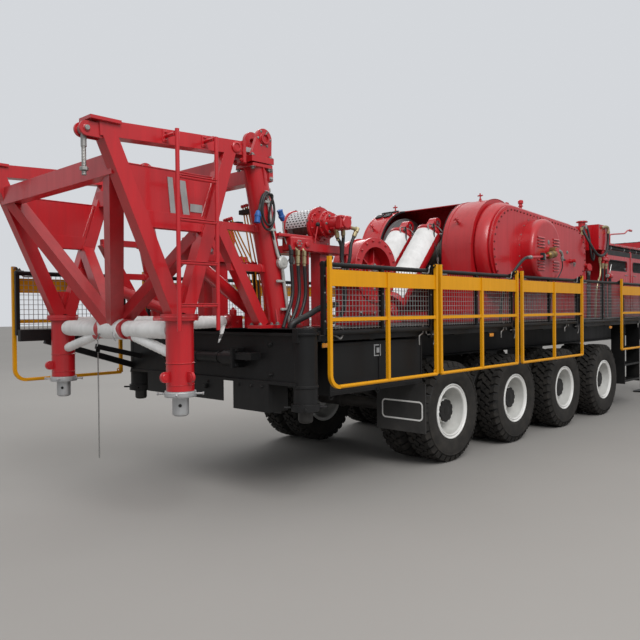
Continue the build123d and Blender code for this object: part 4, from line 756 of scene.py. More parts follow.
for side in (-1, 1):
    wound((column_x, side * 0.215, 1.508), (column_x, side * 0.845, 1.508), 0.0705)
    low, high = Vector((column_x, side * 0.215, 1.472)), Vector((column_x, side * 0.855, 1.3222))
    pipe(low, low + (high - low) * 0.16, 0.041, 20, 1)
    wound(low + (high - low) * 0.15, high, 0.0405, 0.06)
    low, high = Vector((-6.022, side * 0.907, 1.56)), Vector((-5.262, side * 0.476, 1.56))
    wound(low, low + (high - low) * 0.86, 0.0505, 0.075, ragged=0.02)
    pipe(low + (high - low) * 0.84, high, 0.0495, 24, 1)
wraps = piece("wound_wrapping", [wrap_white, red_gloss])
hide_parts("wrapped_tubes")
wound((column_x, -0.175, 1.508), (column_x, 0.165, 1.508), 0.0875, 0.11, 0.005, ragged=0.05)
# loose tails of strip: each is a row of points down its middle, with a half width
for spots, half in (((((-5.415, -0.606, 1.535), (-5.43, -0.622, 1.5), (-5.452, -0.628, 1.455),
        (-5.462, -0.622, 1.412), (-5.478, -0.625, 1.382))), 0.026),
        (((-6.187, -0.14, 1.49), (-6.194, -0.15, 1.45), (-6.188, -0.165, 1.41)), 0.014),
        (((-6.187, 0.1, 1.47), (-6.196, 0.11, 1.43), (-6.193, 0.12, 1.385), (-6.2, 0.118, 1.36)), 0.011)):
    rows = []
    for k, spot in enumerate(spots):
        narrow = half * (1 - 0.75 * k / (len(spots) - 1))
        skew = 0.004 * sin(k * 2.2)
        rows.append([Vector(spot) + Vector((0.55 * s * narrow, -0.8 * s * narrow + skew, 0.2 * s * narrow))
            + Vector((0, 0, 0.0011)) * t for s, t in ((-1, 0), (0, 1), (1, 0), (1, -1), (0, -1), (-1, -1))])
    cover(rows)
piece("torn_wrapping", wrap_white, angle=60)


# Mast posts
# Heavy leaning tubes carry the mast's hinge; heads and feet are stiffened with welded fins.
# Flanges are bolted, and the cheeks take the mast's hinge pins when the mast is fitted.
dress(red_gloss, "mast_posts")
post_foot, post_lean, post_y = (-5.025, 1.5), -0.275 / 1.39, 0.9
hinge_x, hinge_z = -5.26, 3.09


def post_x(z):
    """Gives the place along the trailer of the leaning post's middle at a height."""
    return post_foot[0] + post_lean * (z - post_foot[1])


def fin(corners, across, thick=0.012, finish=0):
    """Adds a flat stiffener plate from its corner points, with its thickness laid across."""
    across = Vector(across).normalized() * thick / 2
    cover([[Vector(c) + across * s for c in corners] for s in (-1, 1)], finish)


for side in (-1, 1):
    y = side * post_y
    for head, low, out in ((2.842, 2.7, 0.115), (1.528, 1.66, 0.14)):
        x, x_low = post_x(head), post_x(low)
        for turn in range(4):
            angle = pi / 2 * turn + (0 if head > 2 else pi / 4)
            way = Vector((cos(angle), sin(angle), 0))
            fin((Vector((x, y, head)) + way * 0.09, Vector((x, y, head)) + way * out,
                Vector((x_low, y, low)) + way * 0.102, Vector((x_low, y, low)) + way * 0.09), way.cross(UP))
    slab((-5.405, y - 0.112, 2.842), (-5.185, y + 0.112, 2.874), 0.004)
    bolt_square((-5.3, y, 2.842), (0.09, 0.09, 0), DOWN, 0.03, 1)
    bolt_square((-5.3, y, 2.93), (0.099, 0.099, 0), UP, 0.03, 1)
    bolt_square((post_foot[0], y, 1.528), (0.126, 0.1125, 0), UP, 0.034, 1)
    bolt_square((-5.23, y, 1.528), (0.065, 0.055, 0), UP, 0.026, 1)
    for cheek in (-1, 1):
        face = y + cheek * 0.112
        turned((hinge_x, y + cheek * 0.0905, hinge_z), (0, cheek, 0),
            [(0, 0.052), (0.006, 0.05), (0.008, 0.046)], 32)
        bolt_ring((hinge_x, y + cheek * 0.0895, hinge_z), (0, cheek, 0), 0.066, 6, 0.013, 1)
        pipe((-5.26, face - cheek * 0.004, 3.12), (-5.26, face + cheek * 0.006, 3.128), 0.006, 10, 1)
        seam((-5.4, y + cheek * 0.093, 2.932), (-5.185, y + cheek * 0.093, 2.932))
    # beam ends and the bolted joints of the ties
    slab((-5.21, side * 0.98, 2.745), (-5.16, side * 0.99, 2.855))
    bolts(-5.185, side * 0.99, (2.765, 2.835), (0, side, 0), 0.022, 1)
    for z in (2.34, 2.01):
        bead((post_x(z) - 0.125, y, z), AHEAD, 0.034, 0.008)
    bolt_square((-5.482, y, 2.91), (0, 0.03, 0.03), AHEAD, 0.018, 1)
piece("post_fins_and_bolts", [red_gloss, bolt_steel])

# Cables and junction box on the near post
# A spare cable hangs in two turns from a hook, with blue moulded plugs on its ends.
# A steel conduit is clipped down the post to a cast junction box, with a grey hose below it.


def hose(spots, radius, finish=0, sides=12, fine=6):
    """Adds a round hose, cable or bent rod through its spots, curved smoothly between them."""
    spots = [Vector(s) for s in spots]
    whole = [spots[0] * 2 - spots[1], *spots, spots[-1] * 2 - spots[-2]]
    line = []
    for a, b, c, d in zip(whole, whole[1:], whole[2:], whole[3:]):
        for k in range(fine):
            t = k / fine
            line.append(0.5 * (2 * b + (c - a) * t + (2 * a - 5 * b + 4 * c - d) * t * t
                + (3 * b - a - 3 * c + d) * t ** 3))
    line.append(spots[-1])
    way = (line[1] - line[0]).normalized()
    side, rings = way.orthogonal().normalized(), []
    for i, spot in enumerate(line):
        way = (line[min(i + 1, len(line) - 1)] - line[max(i - 1, 0)]).normalized()
        side = (side - way * side.dot(way)).normalized()
        rings.append(circle(spot, side, way.cross(side), radius, sides))
    cover(rings, finish)


cable_black = coated("black cable sheath", (0.012, 0.012, 0.013), fade=0.2, wear=0.0, dust=0.35,
    grime=(0.14, 0.13, 0.12), bump=0.15, scale=5)
plug_blue = coated("blue moulded plug", (0.012, 0.1, 0.36), 0.34, fade=0.2, under=(0.3, 0.36, 0.42), wear=0.4,
    edge=0.002, dust=0.2)
cable_grey = coated("grey flexible hose", (0.4, 0.395, 0.375), 0.45, fade=0.35, wear=0.1, dust=0.35,
    bump=0.25)
cast_grey = coated("cast alloy box", (0.5, 0.495, 0.47), metal=0.25, under=(0.24, 0.23, 0.22), wear=0.6,
    edge=0.002, bump=0.5, scale=7)
turns = []
for k in range(29):
    a = radians(90 - 27 * k)
    wide, tall = (0.082, 0.155) if k < 14 else (0.07, 0.13)
    turns.append((-5.272 + wide * cos(a) * 0.98, -1.03 - 0.0009 * k,
        2.48 + tall * sin(a) + (0.012 if k > 13 else 0)))
hose([(-5.374, -1.036, 2.462), (-5.35, -1.034, 2.535), (-5.325, -1.03, 2.6), *turns, (-5.25, -1.028, 2.44),
    (-5.215, -1.02, 2.33), (-5.165, -1.02, 2.2), (-5.115, -1.02, 2.115)], 0.0095)
for spot, tip in (((-5.376, -1.036, 2.474), (-5.392, -1.04, 2.376)),
        ((-5.016, -0.952, 2.428), (-5.066, -0.962, 2.52))):
    way = Vector(tip) - Vector(spot)
    turned(spot, way, [(0, 0.012), (0.012, 0.02), (0.03, 0.023), (0.034, 0.028), (0.05, 0.028),
        (0.054, 0.024), (0.092, 0.024), (0.094, 0.027), (0.102, 0.027), (0.104, 0.02)], 24, 1)
hose([(-5.02, -0.952, 2.42), (-5.018, -0.958, 2.36), (-5.006, -0.962, 2.275), (-4.962, -0.966, 2.184),
    (-4.915, -0.97, 2.115), (-4.905, -0.975, 2.075), (-4.925, -0.985, 2.058), (-4.955, -0.995, 2.085),
    (-4.985, -1.0, 2.098), (-5.022, -1.015, 2.075)], 0.0055, 2, 8)
hose([(-5.252, -1.0, 2.64), (-5.242, -1.014, 2.57), (-5.219, -1.016, 2.41), (-5.19, -1.016, 2.28),
    (-5.148, -1.022, 2.125), (-5.126, -1.03, 2.088)], 0.0135, 3, 14)
hose([(-5.11, -1.03, 2.035), (-5.096, -1.026, 1.98), (-5.072, -1.018, 1.87), (-5.05, -1.016, 1.75),
    (-5.026, -1.015, 1.62), (-5.008, -1.015, 1.51)], 0.014, 2)
turned((-5.102, -0.998, 2.058), NEAR, [(0, 0.03), (0.006, 0.05), (0.034, 0.052), (0.036, 0.056),
    (0.042, 0.056), (0.046, 0.05), (0.052, 0.044), (0.053, 0.018), (0.056, 0.016)], 10, 3)
bolt_ring((-5.102, -1.04, 2.058), NEAR, 0.048, 5, 0.009, 3, 0.25)
pipe((-5.13, -1.03, 2.1), (-5.116, -1.028, 2.074), 0.018, 12, 3)
pipe((-5.108, -1.028, 2.05), (-5.113, -1.031, 2.018), 0.019, 12, 3)
for z in (2.56, 2.33, 1.9, 1.66):
    slab((post_x(z) - 0.055, -1.004, z - 0.011), (post_x(z) + 0.02, -1.032, z + 0.011), 0.004, 3)
hose([(-5.262, -0.985, 2.655), (-5.268, -1.03, 2.645), (-5.268, -1.058, 2.632), (-5.268, -1.066, 2.648),
    (-5.268, -1.066, 2.664)], 0.006, 3, 8)
piece("post_cables", [cable_black, plug_blue, cable_grey, cast_grey])

# Yellow rods beside the near post
# Two bundles of thin painted control rods run down to the deck, held in clamp blocks.
rod_yellow = coated("yellow rod paint", (0.74, 0.36, 0.008), 0.3, fade=0.22, under=(0.28, 0.2, 0.1), wear=0.4,
    edge=0.002, dust=0.06, scale=4, gloss=0.25)
# columns: top point, bottom point, number of rods
for (x0, z0), (x1, z1), count in (((-5.423, 2.43), (-5.183, 2.05), 4), ((-5.25, 2.56), (-5.105, 2.05), 3)):
    for k in range(count):
        y = -0.75 + 0.043 * k
        hose([(x0 + 0.012 * k, y, z0), (x0 + (x1 - x0) * 0.5, y, z0 + (z1 - z0) * 0.5),
            (x1 - 0.008 * k, y, z1), (x1 + 0.03, y, z1 - 0.16), (x1 + 0.045, y, 1.502)], 0.0065, 0, 8)
        turned((x0 + 0.012 * k, y, z0 - 0.008), (x0 - x1, 0, z0 - z1),
            [(0, 0.016), (0.022, 0.016), (0.026, 0.01)], 6, 2)
        pipe((x1 - 0.008 * k, y, z1 - 0.03), (x1 - 0.008 * k - 0.012, y, z1 + 0.03), 0.014, 10, 2)
    span = 0.043 * (count - 1)
    slab((x0 - 0.01, -0.84, z0 - 0.07), (x0 + 0.055, -0.75 + span + 0.02, z0 - 0.03), 0.004, 1)
    slab((x1 - 0.04, -0.722, z1 - 0.075), (x1 + 0.03, -0.75 + span + 0.02, z1 - 0.045), 0.004, 1)
    bolt((x0 + 0.02, -0.72, z0 - 0.03), UP, 0.02, 1)
slab((-5.16, -0.722, 1.5), (-5.12, -0.712, 1.99), 0.003, 1)
piece("control_rods", [rod_yellow, black_steel, red_gloss])


# Raising rams
# Two telescoping rams lie back on pinned brackets; their heads and eyes are red.
# The barrels are still sleeved in white strip, open along one side, with thin oil hoses on top.
dress(red_gloss, "ram_brackets", "ram_barrel_near", "ram_barrel_far")
chrome_rod = coated("hard chromed rod", (0.7, 0.71, 0.73), 0.12, metal=1.0, fade=0.12, under=(0.5, 0.5, 0.5),
    wear=0.2, dust=0.1, bump=0.02, scale=3)


def ring(base, way, inner, outer, long, sides=32, finish=0):
    """Adds an open ring or bush between two radii."""
    (way, side, other), ease = axes(way), min(0.002, long * 0.2)
    outline = [(0, inner), (0, outer - ease), (ease, outer), (long - ease, outer), (long, outer - ease),
        (long, inner)]
    rings = [circle(Vector(base) + way * d, side, other, r, sides) for d, r in outline]
    cover(rings, finish, looped=True, ends=False)


lean = radians(42)
up_ram = Vector((sin(lean), 0, cos(lean)))
open_side = Vector((0.4, -0.82, -0.36)).normalized()
cross_ram = up_ram.cross(open_side).normalized()
barrel_radius, head_at, eye_at = 0.165, 1.34, 1.53
for side, label in near_and_far:
    foot = Vector((-2.6, side * 0.22, 1.64))
    # the open sleeve of strip: rings of points from one lip round to the other
    outer, inner, count = [], [], 116
    for k in range(count + 1):
        outer.append([])
        inner.append([])
        for i in range(33):
            share = i / 32
            edge_by = min(share, 1 - share)
            lip = 0.012 * noise.noise(Vector((k * 0.16, side * 5, share * 2)))
            turn = radians(44) + lip + (2 * pi - radians(88)) * share
            along_by = 0.17 + 1.11 * k / count + 0.02 * noise.noise(Vector((share * 5, k // 60, 7 + side)))
            puff = 0.0035 * ((along_by / 0.12 + share) % 1)
            puff += 0.002 * noise.noise(Vector((along_by * 14, share * 11, side)))
            lift = 0.004 * max(0, 1 - edge_by * 14)
            spoke = open_side * cos(turn) + cross_ram * sin(turn)
            for skin, out in ((outer, 0.0015), (inner, 0.0003)):
                skin[-1].append(work.verts.new(foot + up_ram * along_by + spoke
                    * (barrel_radius + out + puff + lift)))
    for skin in (outer, inner):
        for a, b in zip(skin, skin[1:]):
            for i in range(32):
                work.faces.new((a[i], a[i + 1], b[i + 1], b[i]))
    edges = [([row[i] for row in outer], [row[i] for row in inner]) for i in (0, 32)] + [(outer[k], inner[k])
        for k in (0, -1)]
    for a, b in edges:
        for k in range(len(a) - 1):
            work.faces.new((a[k], a[k + 1], b[k + 1], b[k]))
    bmesh.ops.recalc_face_normals(work, faces=list(work.faces))
    piece(f"ram_sleeve_{label}", wrap_white, f"ram_barrel_{label}", 60)
    gland = foot + up_ram * head_at
    ring(gland - up_ram * 0.035, up_ram, barrel_radius - 0.002, barrel_radius + 0.008, 0.034, 56)
    ring(gland - up_ram * 0.004, up_ram, 0.1015, barrel_radius - 0.012, 0.022, 56)
    for k in range(12):
        a = 2 * pi * k / 12
        spoke = open_side * cos(a) + cross_ram * sin(a)
        bolt(gland + up_ram * 0.017 + spoke * 0.128, up_ram, 0.017, 1)
    bead(gland - up_ram * (head_at - 0.115), up_ram, barrel_radius, 0.004)
    for cheek in (-1, 1):
        turned(foot + Vector((0, cheek * 0.0885, 0)), (0, cheek, 0),
            [(0, 0.055), (0.01, 0.055), (0.014, 0.05)], 28)
        for k in range(4):
            a = pi * (k + 0.5) / 2
            place = foot + Vector((0.04 * cos(a), cheek * 0.1025, 0.04 * sin(a)))
            bolt(place, (0, cheek, 0), 0.014, 1)
    piece(f"ram_fittings_{label}", [red_gloss, bolt_steel], f"ram_barrel_{label}")
    # the rod with its neck and eye, drawn as one turned and bored piece
    eye, across = foot + up_ram * eye_at, Vector((up_ram.z, 0, -up_ram.x))
    rod_long = head_at + 0.04 - 0.2
    turned(foot + up_ram * 0.2, up_ram, [(0, 0.098), (0.004, 0.1), (rod_long - 0.008, 0.1),
        (rod_long, 0.094)], 48, 1)
    turned(foot + up_ram * (head_at + 0.03), up_ram, [(0, 0.082), (0.07, 0.082)], 40)
    block_foot, block_top = head_at + 0.092, eye_at - 0.03
    corners = [foot + up_ram * d + across * w for d, w in ((block_foot, -0.066), (block_foot, 0.066),
        (block_foot + 0.01, 0.075), (block_top, 0.075), (block_top, -0.075), (block_foot + 0.01, -0.075))]
    fin(corners, FAR, 0.108)
    ring(eye - Vector((0, 0.055, 0)), FAR, 0.0354, 0.075, 0.11, 48)
    ring(eye - Vector((0, 0.0552, 0)), FAR, 0.0354, 0.044, 0.1104, 40, 1)
    rod_and_eye = piece(f"ram_rod_and_eye_{label}", [red_gloss, chrome_rod], f"ram_rod_{label}")
    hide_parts(f"ram_rod_{label}")
# oil hoses: each hangs from an elbow on the barrel's head down along the sleeve
for label, y in (("near", -0.22), ("far", 0.22)):
    head = Vector((-2.6, y, 1.64)) + up_ram * (head_at - 0.018)
    for spoke, drop, sway in ((Vector((-0.8, -0.6, 0)), 0.42, 0.02), (Vector((0.1, -0.995, 0)), 0.5, 0.1)):
        spoke = (spoke - up_ram * spoke.dot(up_ram)).normalized()
        port = head + spoke * (barrel_radius + 0.006)
        turned(port, spoke, [(0, 0.02), (0.022, 0.02), (0.026, 0.014), (0.038, 0.014)], 6, 1)
        low = port + spoke * 0.035 + Vector((sway * 0.9, -0.05 if label == "near" else 0.0, -drop))
        hose([port + spoke * 0.03, port + spoke * 0.055 + Vector((0, 0, 0.012)),
            port + spoke * 0.06 + Vector((0.01, 0, -0.06)), port + spoke * 0.05
            + Vector((sway * 0.6, 0, -drop * 0.5)), low], 0.0085, 0, 10)
        turned(low + Vector((0, 0, 0.01)), (0.1, 0, -1), [(0, 0.012), (0.004, 0.016), (0.045, 0.016),
            (0.05, 0.011)], 6, 1)
        hose([low + Vector((0, 0, -0.03)), low + Vector((0.01, 0, -0.075)),
            low + Vector((0.055, 0.01, -0.105))], 0.01, 1, 10)
    # the steel pipe that joins the two ports over the head
    start = head + Vector((-0.14, -0.1, 0.05))
    hose([start, start + Vector((0.01, 0.02, 0.05)), start + Vector((0.12, 0.06, 0.085)),
        start + Vector((0.24, 0.02, 0.05)), start + Vector((0.27, -0.04, -0.03))], 0.0075, 1, 10)
    piece(f"ram_hoses_{label}", [cable_black, bolt_steel], f"ram_barrel_{label}")


# Drawworks: guards, main case and drum
# Rolled and welded sheet guards over the rope drum, with a long case for the gears before it.
# Hand bolts hold the hatches, a rubber strip seals the guards' edges, and the drum carries its wire rope.
dress(red_gloss, "drawworks_housing", "chain_case", "rotary_drive")
dress(ground_steel, "drawworks_drum")
seal_rubber = coated("black edge rubber", (0.01, 0.01, 0.011), 0.6, fade=0.2, wear=0.0, dust=0.25,
    grime=(0.13, 0.12, 0.11), bump=0.2)


def spoke_at(angle):
    """Gives the direction at an angle in degrees, in the plane of the trailer's side."""
    return Vector((cos(radians(angle)), 0, sin(radians(angle))))


def band(centre, radius, thick, y0, y1, start, end, finish=0, steps=None):
    """Adds a bent strip round an axis that runs across the trailer, between two angles in degrees."""
    steps, rows = steps or max(6, int(abs(end - start) / 5)), []
    for k in range(steps + 1):
        a = radians(start + (end - start) * k / steps)
        rows.append([(centre[0] + r * cos(a), y, centre[1] + r * sin(a))
            for r, y in ((radius, y0), (radius + thick, y0), (radius + thick, y1), (radius, y1))])
    cover(rows, finish)


drum_centre = drum_x, drum_z = -1.11, 2.4
riser = (1.26, -1.02)
# seals on the open edges of the two guards, and stiffening hoops a little in from them
for y0, y1, start, end in ((0.54, 0.552, 97, 262), (-0.462, -0.45, 97, 262)):
    band(drum_centre, 0.648, 0.0245, y0, y1, start, end, 1)
for y0, y1 in ((0.862, 0.884), (-0.8845, -0.862), (-0.52, -0.5), (0.6, 0.62)):
    band(drum_centre, 0.6695, 0.006, y0, y1, 5, 175)
# hatch frames and their hand bolts; columns: angle round the drum, place across
for angle, y in ((150, -0.66), (94, -0.66), (146, 0.72), (95, 0.72), (60, -0.3), (60, 0.3)):
    way = spoke_at(angle)
    base = Vector((drum_x, y, drum_z)) + way * 0.668
    turned(base, way, [(0, 0.03), (0.01, 0.028), (0.012, 0.016), (0.034, 0.016), (0.036, 0.009),
        (0.105, 0.009)], 14)
    wing = Vector((-way.z, 0, way.x))
    for arm in (wing, FAR):
        pipe(base + way * 0.075 - arm * 0.038, base + way * 0.075 + arm * 0.038, 0.008, 10)
for angle in (102, 116):
    for y in (0.6, 0.74):
        band(drum_centre, 0.672, 0.02, y, y + 0.1, angle, angle + 8, 1)
band(drum_centre, 0.6715, 0.004, -0.4, 0.48, 48, 52)
band(drum_centre, 0.6715, 0.004, -0.4, 0.48, 80, 84)
for y in (-0.36, -0.12, 0.12, 0.36):
    for angle in (50, 82):
        way = spoke_at(angle)
        bolt(Vector((drum_x, y, drum_z)) + way * 0.674, way, 0.02, 2)
# sheet joints, lids and lifting eyes of the long case
for x in (-0.3, 0.42, 1.1):
    slab((x - 0.02, -0.884, 1.66), (x + 0.02, -0.878, 2.9), 0.002)
    slab((x - 0.02, 0.878, 1.66), (x + 0.02, 0.884, 2.9), 0.002)
for x0, x1, y0, y1 in ((-0.02, 0.62, -0.52, -0.02), (0.74, 1.26, -0.42, 0.42), (-0.02, 0.62, 0.12, 0.62)):
    slab((x0, y0, 2.918), (x1, y1, 2.934), 0.004)
    for i in range(5):
        for y in (y0 + 0.02, y1 - 0.02):
            bolt((x0 + 0.025 + (x1 - x0 - 0.05) * i / 4, y, 2.934), UP, 0.018, 2)
for x, y in ((0.0, -0.78), (0.0, 0.78), (1.3, -0.7), (1.3, 0.7), (-0.45, -0.6), (-0.45, 0.6)):
    hose([(x - 0.045, y, 2.915), (x - 0.04, y, 2.955), (x, y, 2.985), (x + 0.04, y, 2.955),
        (x + 0.045, y, 2.915)], 0.011)
slab((0.62, 0.874, 1.85), (1.28, 0.888, 2.55), 0.004)
bolts((0.65, 0.86, 1.07, 1.25), 0.888, (1.88, 2.52), FAR, 0.02, 2)
for y in (-0.88, 0.88):
    seam((-0.465, y, 1.622), (1.49, y, 1.622), 0.007)
# vent on the roof with its rain cap
turned((-0.2, -0.3, 2.92), UP, [(0, 0.085), (0.012, 0.085), (0.014, 0.062), (0.06, 0.058)], 28)
turned((-0.2, -0.3, 3.088), UP, [(0, 0.052), (0.002, 0.074), (0.02, 0.074), (0.034, 0.05), (0.038, 0.016)],
    28)
# small breather on the roof's near edge, and a lifting lug on the guard
turned((-0.37, -0.83, 2.915), UP, [(0, 0.02), (0.145, 0.02), (0.147, 0.034), (0.157, 0.034), (0.159, 0.024),
    (0.185, 0.024), (0.187, 0.036), (0.225, 0.036), (0.235, 0.026)])
slab((-0.888, -0.888, 2.985), (-0.812, -0.872, 3.062), 0.006)
ring((-0.85, -0.889, 3.035), NEAR, 0.013, 0.021, 0.006, 20)
# riser pipe: top flange, clips, the valve and hose beside it, and the fittings at its foot
turned((*riser, 2.968), UP, [(0, 0.085), (0.012, 0.085), (0.014, 0.07), (0.022, 0.068)], 32)
bolt_ring((*riser, 2.981), UP, 0.072, 8, 0.014, 2)
for z in (2.6, 2.05):
    turned((*riser, z - 0.022), UP, [(0, 0.056), (0.004, 0.061), (0.04, 0.061), (0.044, 0.056)], 28)
turned((*riser, 2.22), UP, [(0, 0.055), (0.01, 0.075), (0.11, 0.075), (0.12, 0.055)], 20)
turned((*riser, 2.28), AHEAD, [(0, 0.04), (0.13, 0.04), (0.135, 0.052), (0.155, 0.052)], 20)
turned((*riser, 2.28), (-0.3, -1, 0), [(0, 0.04), (0.11, 0.04), (0.115, 0.05), (0.135, 0.05)], 20)
pipe((1.22, -1.1, 2.86), (1.22, -1.1, 2.93), 0.018, 10, 2)
pipe((1.22, -1.04, 2.9), (1.22, -1.11, 2.9), 0.014, 10, 2)
hose([(1.3, -1.08, 2.9), (1.315, -1.11, 2.74), (1.33, -1.12, 2.56), (1.385, -1.12, 2.42), (1.475, -1.11, 2.4),
    (1.55, -1.09, 2.48), (1.585, -1.05, 2.64), (1.59, -1.0, 2.8), (1.56, -0.93, 2.88), (1.49, -0.88, 2.88)],
    0.017, 3)
for x, z in ((1.395, 2.2), (1.46, 2.16)):
    turned((x, -1.05, z), UP, [(0, 0.014), (0.02, 0.021), (0.06, 0.021), (0.065, 0.015), (0.1, 0.015)], 8, 2)
    hose([(x, -1.05, z + 0.01), (x + 0.005, -1.05, z - 0.14), (x - 0.01, -1.06, z - 0.4),
        (x - 0.02, -1.06, 1.505)], 0.014, 3)
slab((1.36, -1.075, 2.225), (1.52, -1.02, 2.315), 0.008)
piece("drawworks_fittings", [red_gloss, seal_rubber, bolt_steel, cable_black])
rope_steel = coated("greased wire rope", (0.17, 0.155, 0.135), metal=0.7, fade=0.5, under=(0.08, 0.06, 0.05),
    wear=0.3, edge=0.002, bump=0.4, scale=10)
rope = [(0, 0.236)]
for k in range(37):
    rope += [(0.004 + 0.026 * k + d, 0.246 + h) for d, h in ((0.002, 0), (0.0075, 0.009), (0.013, 0.0125),
        (0.0185, 0.009), (0.024, 0))]
turned((drum_x, -0.43, drum_z), FAR, rope + [(0.968, 0.236)], 56)
piece("drum_rope", rope_steel, "drawworks_drum", 60)
for y, way in ((-0.5005, NEAR), (0.5905, FAR)):
    ring((drum_x, y, drum_z), way, 0.3, 0.36, 0.012, 48)
    bolt_ring((drum_x, y + way[1] * 0.012, drum_z), way, 0.33, 12, 0.03)
for y0, y1 in ((-0.505, -0.455), (0.545, 0.595)):
    band(drum_centre, 0.552, 0.012, y0, y1, 0, 360, 0, 72)
piece("brake_rim_bolts", ground_steel, "drawworks_drum")

# Chain case, clutch cover and rotary union
# A welded oil-tight case covers the drive chain; its lid is bolted on all round.
# The domed clutch cover has pressed louvres, and the air union on it feeds the clutch through a hose.
(xa, za, ra), (xb, zb, rb) = (drum_x, drum_z, 0.55), (0.77, 2.44, 0.415)
lean_case = atan2(zb - za, xb - xa)
open_case = acos((ra - rb) / hypot(xb - xa, zb - za))


def case_line(grow, steps=30):
    """Points of the case's outline, grown by a distance: the big arc, then the small one."""
    big = [lean_case + open_case + (2 * pi - 2 * open_case) * k / steps for k in range(steps + 1)]
    small = [lean_case - open_case + 2 * open_case * k / steps for k in range(steps + 1)]
    return [(xa + (ra + grow) * cos(a), za + (ra + grow) * sin(a))
        for a in big] + [(xb + (rb + grow) * cos(a), zb + (rb + grow) * sin(a)) for a in small]


# columns: place across, how far out
shoulder = ((-0.888, -0.004), (-0.89, 0.062), (-0.905, 0.072), (-0.955, 0.07), (-1.01, 0.052),
    (-1.046, 0.026), (-1.056, -0.004))
flange = ((-1.066, -0.004), (-1.067, 0.012), (-1.069, 0.014), (-1.083, 0.014), (-1.085, 0.012),
    (-1.086, -0.016))
for rolled in (shoulder, flange):
    cover([[(x, y, z) for x, z in case_line(grow)] for y, grow in rolled], ends=False)
# bolts round the flange, at even steps along its edge
line = case_line(-0.04, 60)
line.append(line[0])
gone, due = 0.0, 0.0
for (x0, z0), (x1, z1) in zip(line, line[1:]):
    span = hypot(x1 - x0, z1 - z0)
    while due <= gone + span and span:
        share = (due - gone) / span
        bolt((x0 + (x1 - x0) * share, -1.109, z0 + (z1 - z0) * share), NEAR, 0.017, 5)
        due += 0.094
    gone += span
clutch_x, clutch_z = -0.51, 2.4
# louvres: bent-out slats, each over a thin black strip that is painted shade in its mouth, in two columns
# above and below the union
for x, wide in ((-0.725, 0.098), (-0.275, 0.09)):
    for z in (2.57, 2.53, 2.49, 2.45, 2.27, 2.23, 2.19, 2.15):
        slats = [[work.verts.new((x + s * wide, -1.2895 - out, z + up)) for s in (-1, 1)]
            for out, up in ((0.0, 0.017), (0.006, 0.014), (0.016, -0.003), (0.014, -0.006), (0.0, 0.004))]
        for a, b in zip(slats, slats[1:]):
            work.faces.new((a[0], a[1], b[1], b[0]))
        work.faces.new([row[0] for row in slats])
        work.faces.new([row[1] for row in slats][::-1])
        slab((x - wide + 0.004, -1.2885, z - 0.009), (x + wide - 0.004, -1.2905, z + 0.004), 0.001, 1)
turned((-0.5, -1.289, 2.525), NEAR, [(0, 0.03), (0.003, 0.03), (0.004, 0.027)], 20, 2)
bolt_ring((clutch_x, -1.109, clutch_z), NEAR, 0.468, 20, 0.016, 2, 0.5)
ring((clutch_x, -1.1085, clutch_z), NEAR, 0.433, 0.485, 0.004, 64)
# union: steel nut, bronze collar, then a red pipe to the rear, its clamp and the hose down to the deck
turned((clutch_x, -1.289, clutch_z), NEAR, [(0, 0.075), (0.01, 0.075), (0.014, 0.062), (0.034, 0.06)], 32)
turned((clutch_x, -1.322, clutch_z), NEAR, [(0, 0.047), (0.003, 0.054), (0.085, 0.054), (0.088, 0.047)], 28,
    4)
turned((clutch_x, -1.409, clutch_z), NEAR, [(0, 0.035), (0.003, 0.04), (0.008, 0.04), (0.009, 0.03)], 6, 2)
y = -1.388
turned((-0.535, y, 2.362), (-1, 0, -0.16), [(0, 0.03), (0.012, 0.047), (0.07, 0.047), (0.074, 0.042),
    (0.12, 0.042), (0.124, 0.047), (0.185, 0.047), (0.2, 0.028)], 28, 4)
hose([(-0.725, y, 2.33), (-0.8, y, 2.32), (-0.98, y, 2.3), (-1.2, y, 2.285)], 0.017)
slab((-0.905, y - 0.026, 2.262), (-0.872, y + 0.026, 2.358), 0.004, 1)
slab((-0.868, y - 0.024, 2.27), (-0.842, y + 0.024, 2.344), 0.004, 2)
turned((-1.2, y, 2.285), (-1, 0, -0.08), [(0, 0.018), (0.004, 0.024), (0.04, 0.024), (0.044, 0.02),
    (0.11, 0.02)], 16, 2)
hose([(-1.29, y, 2.278), (-1.38, y, 2.26), (-1.5, -1.385, 2.195), (-1.62, -1.36, 2.08), (-1.72, -1.32, 1.92),
    (-1.77, -1.285, 1.73), (-1.78, -1.27, 1.505)], 0.0175, 3)
hose([(-0.47, -1.392, 2.405), (-0.4, -1.392, 2.408), (-0.34, -1.39, 2.395), (-0.305, -1.388, 2.36),
    (-0.3, -1.386, 2.325)], 0.018, 2)
turned((-0.3, -1.386, 2.335), (0.05, 0, -1), [(0, 0.022), (0.03, 0.022), (0.034, 0.015), (0.055, 0.015)], 6,
    2)
pipe((-0.27, -1.386, 2.3), (-0.2, -1.38, 2.3), 0.012, 10, 1)
hose([(-0.298, -1.384, 2.29), (-0.27, -1.375, 2.2), (-0.3, -1.35, 2.1), (-0.37, -1.33, 2.02),
    (-0.45, -1.31, 1.9), (-0.5, -1.29, 1.505)], 0.0075, 3, 8)
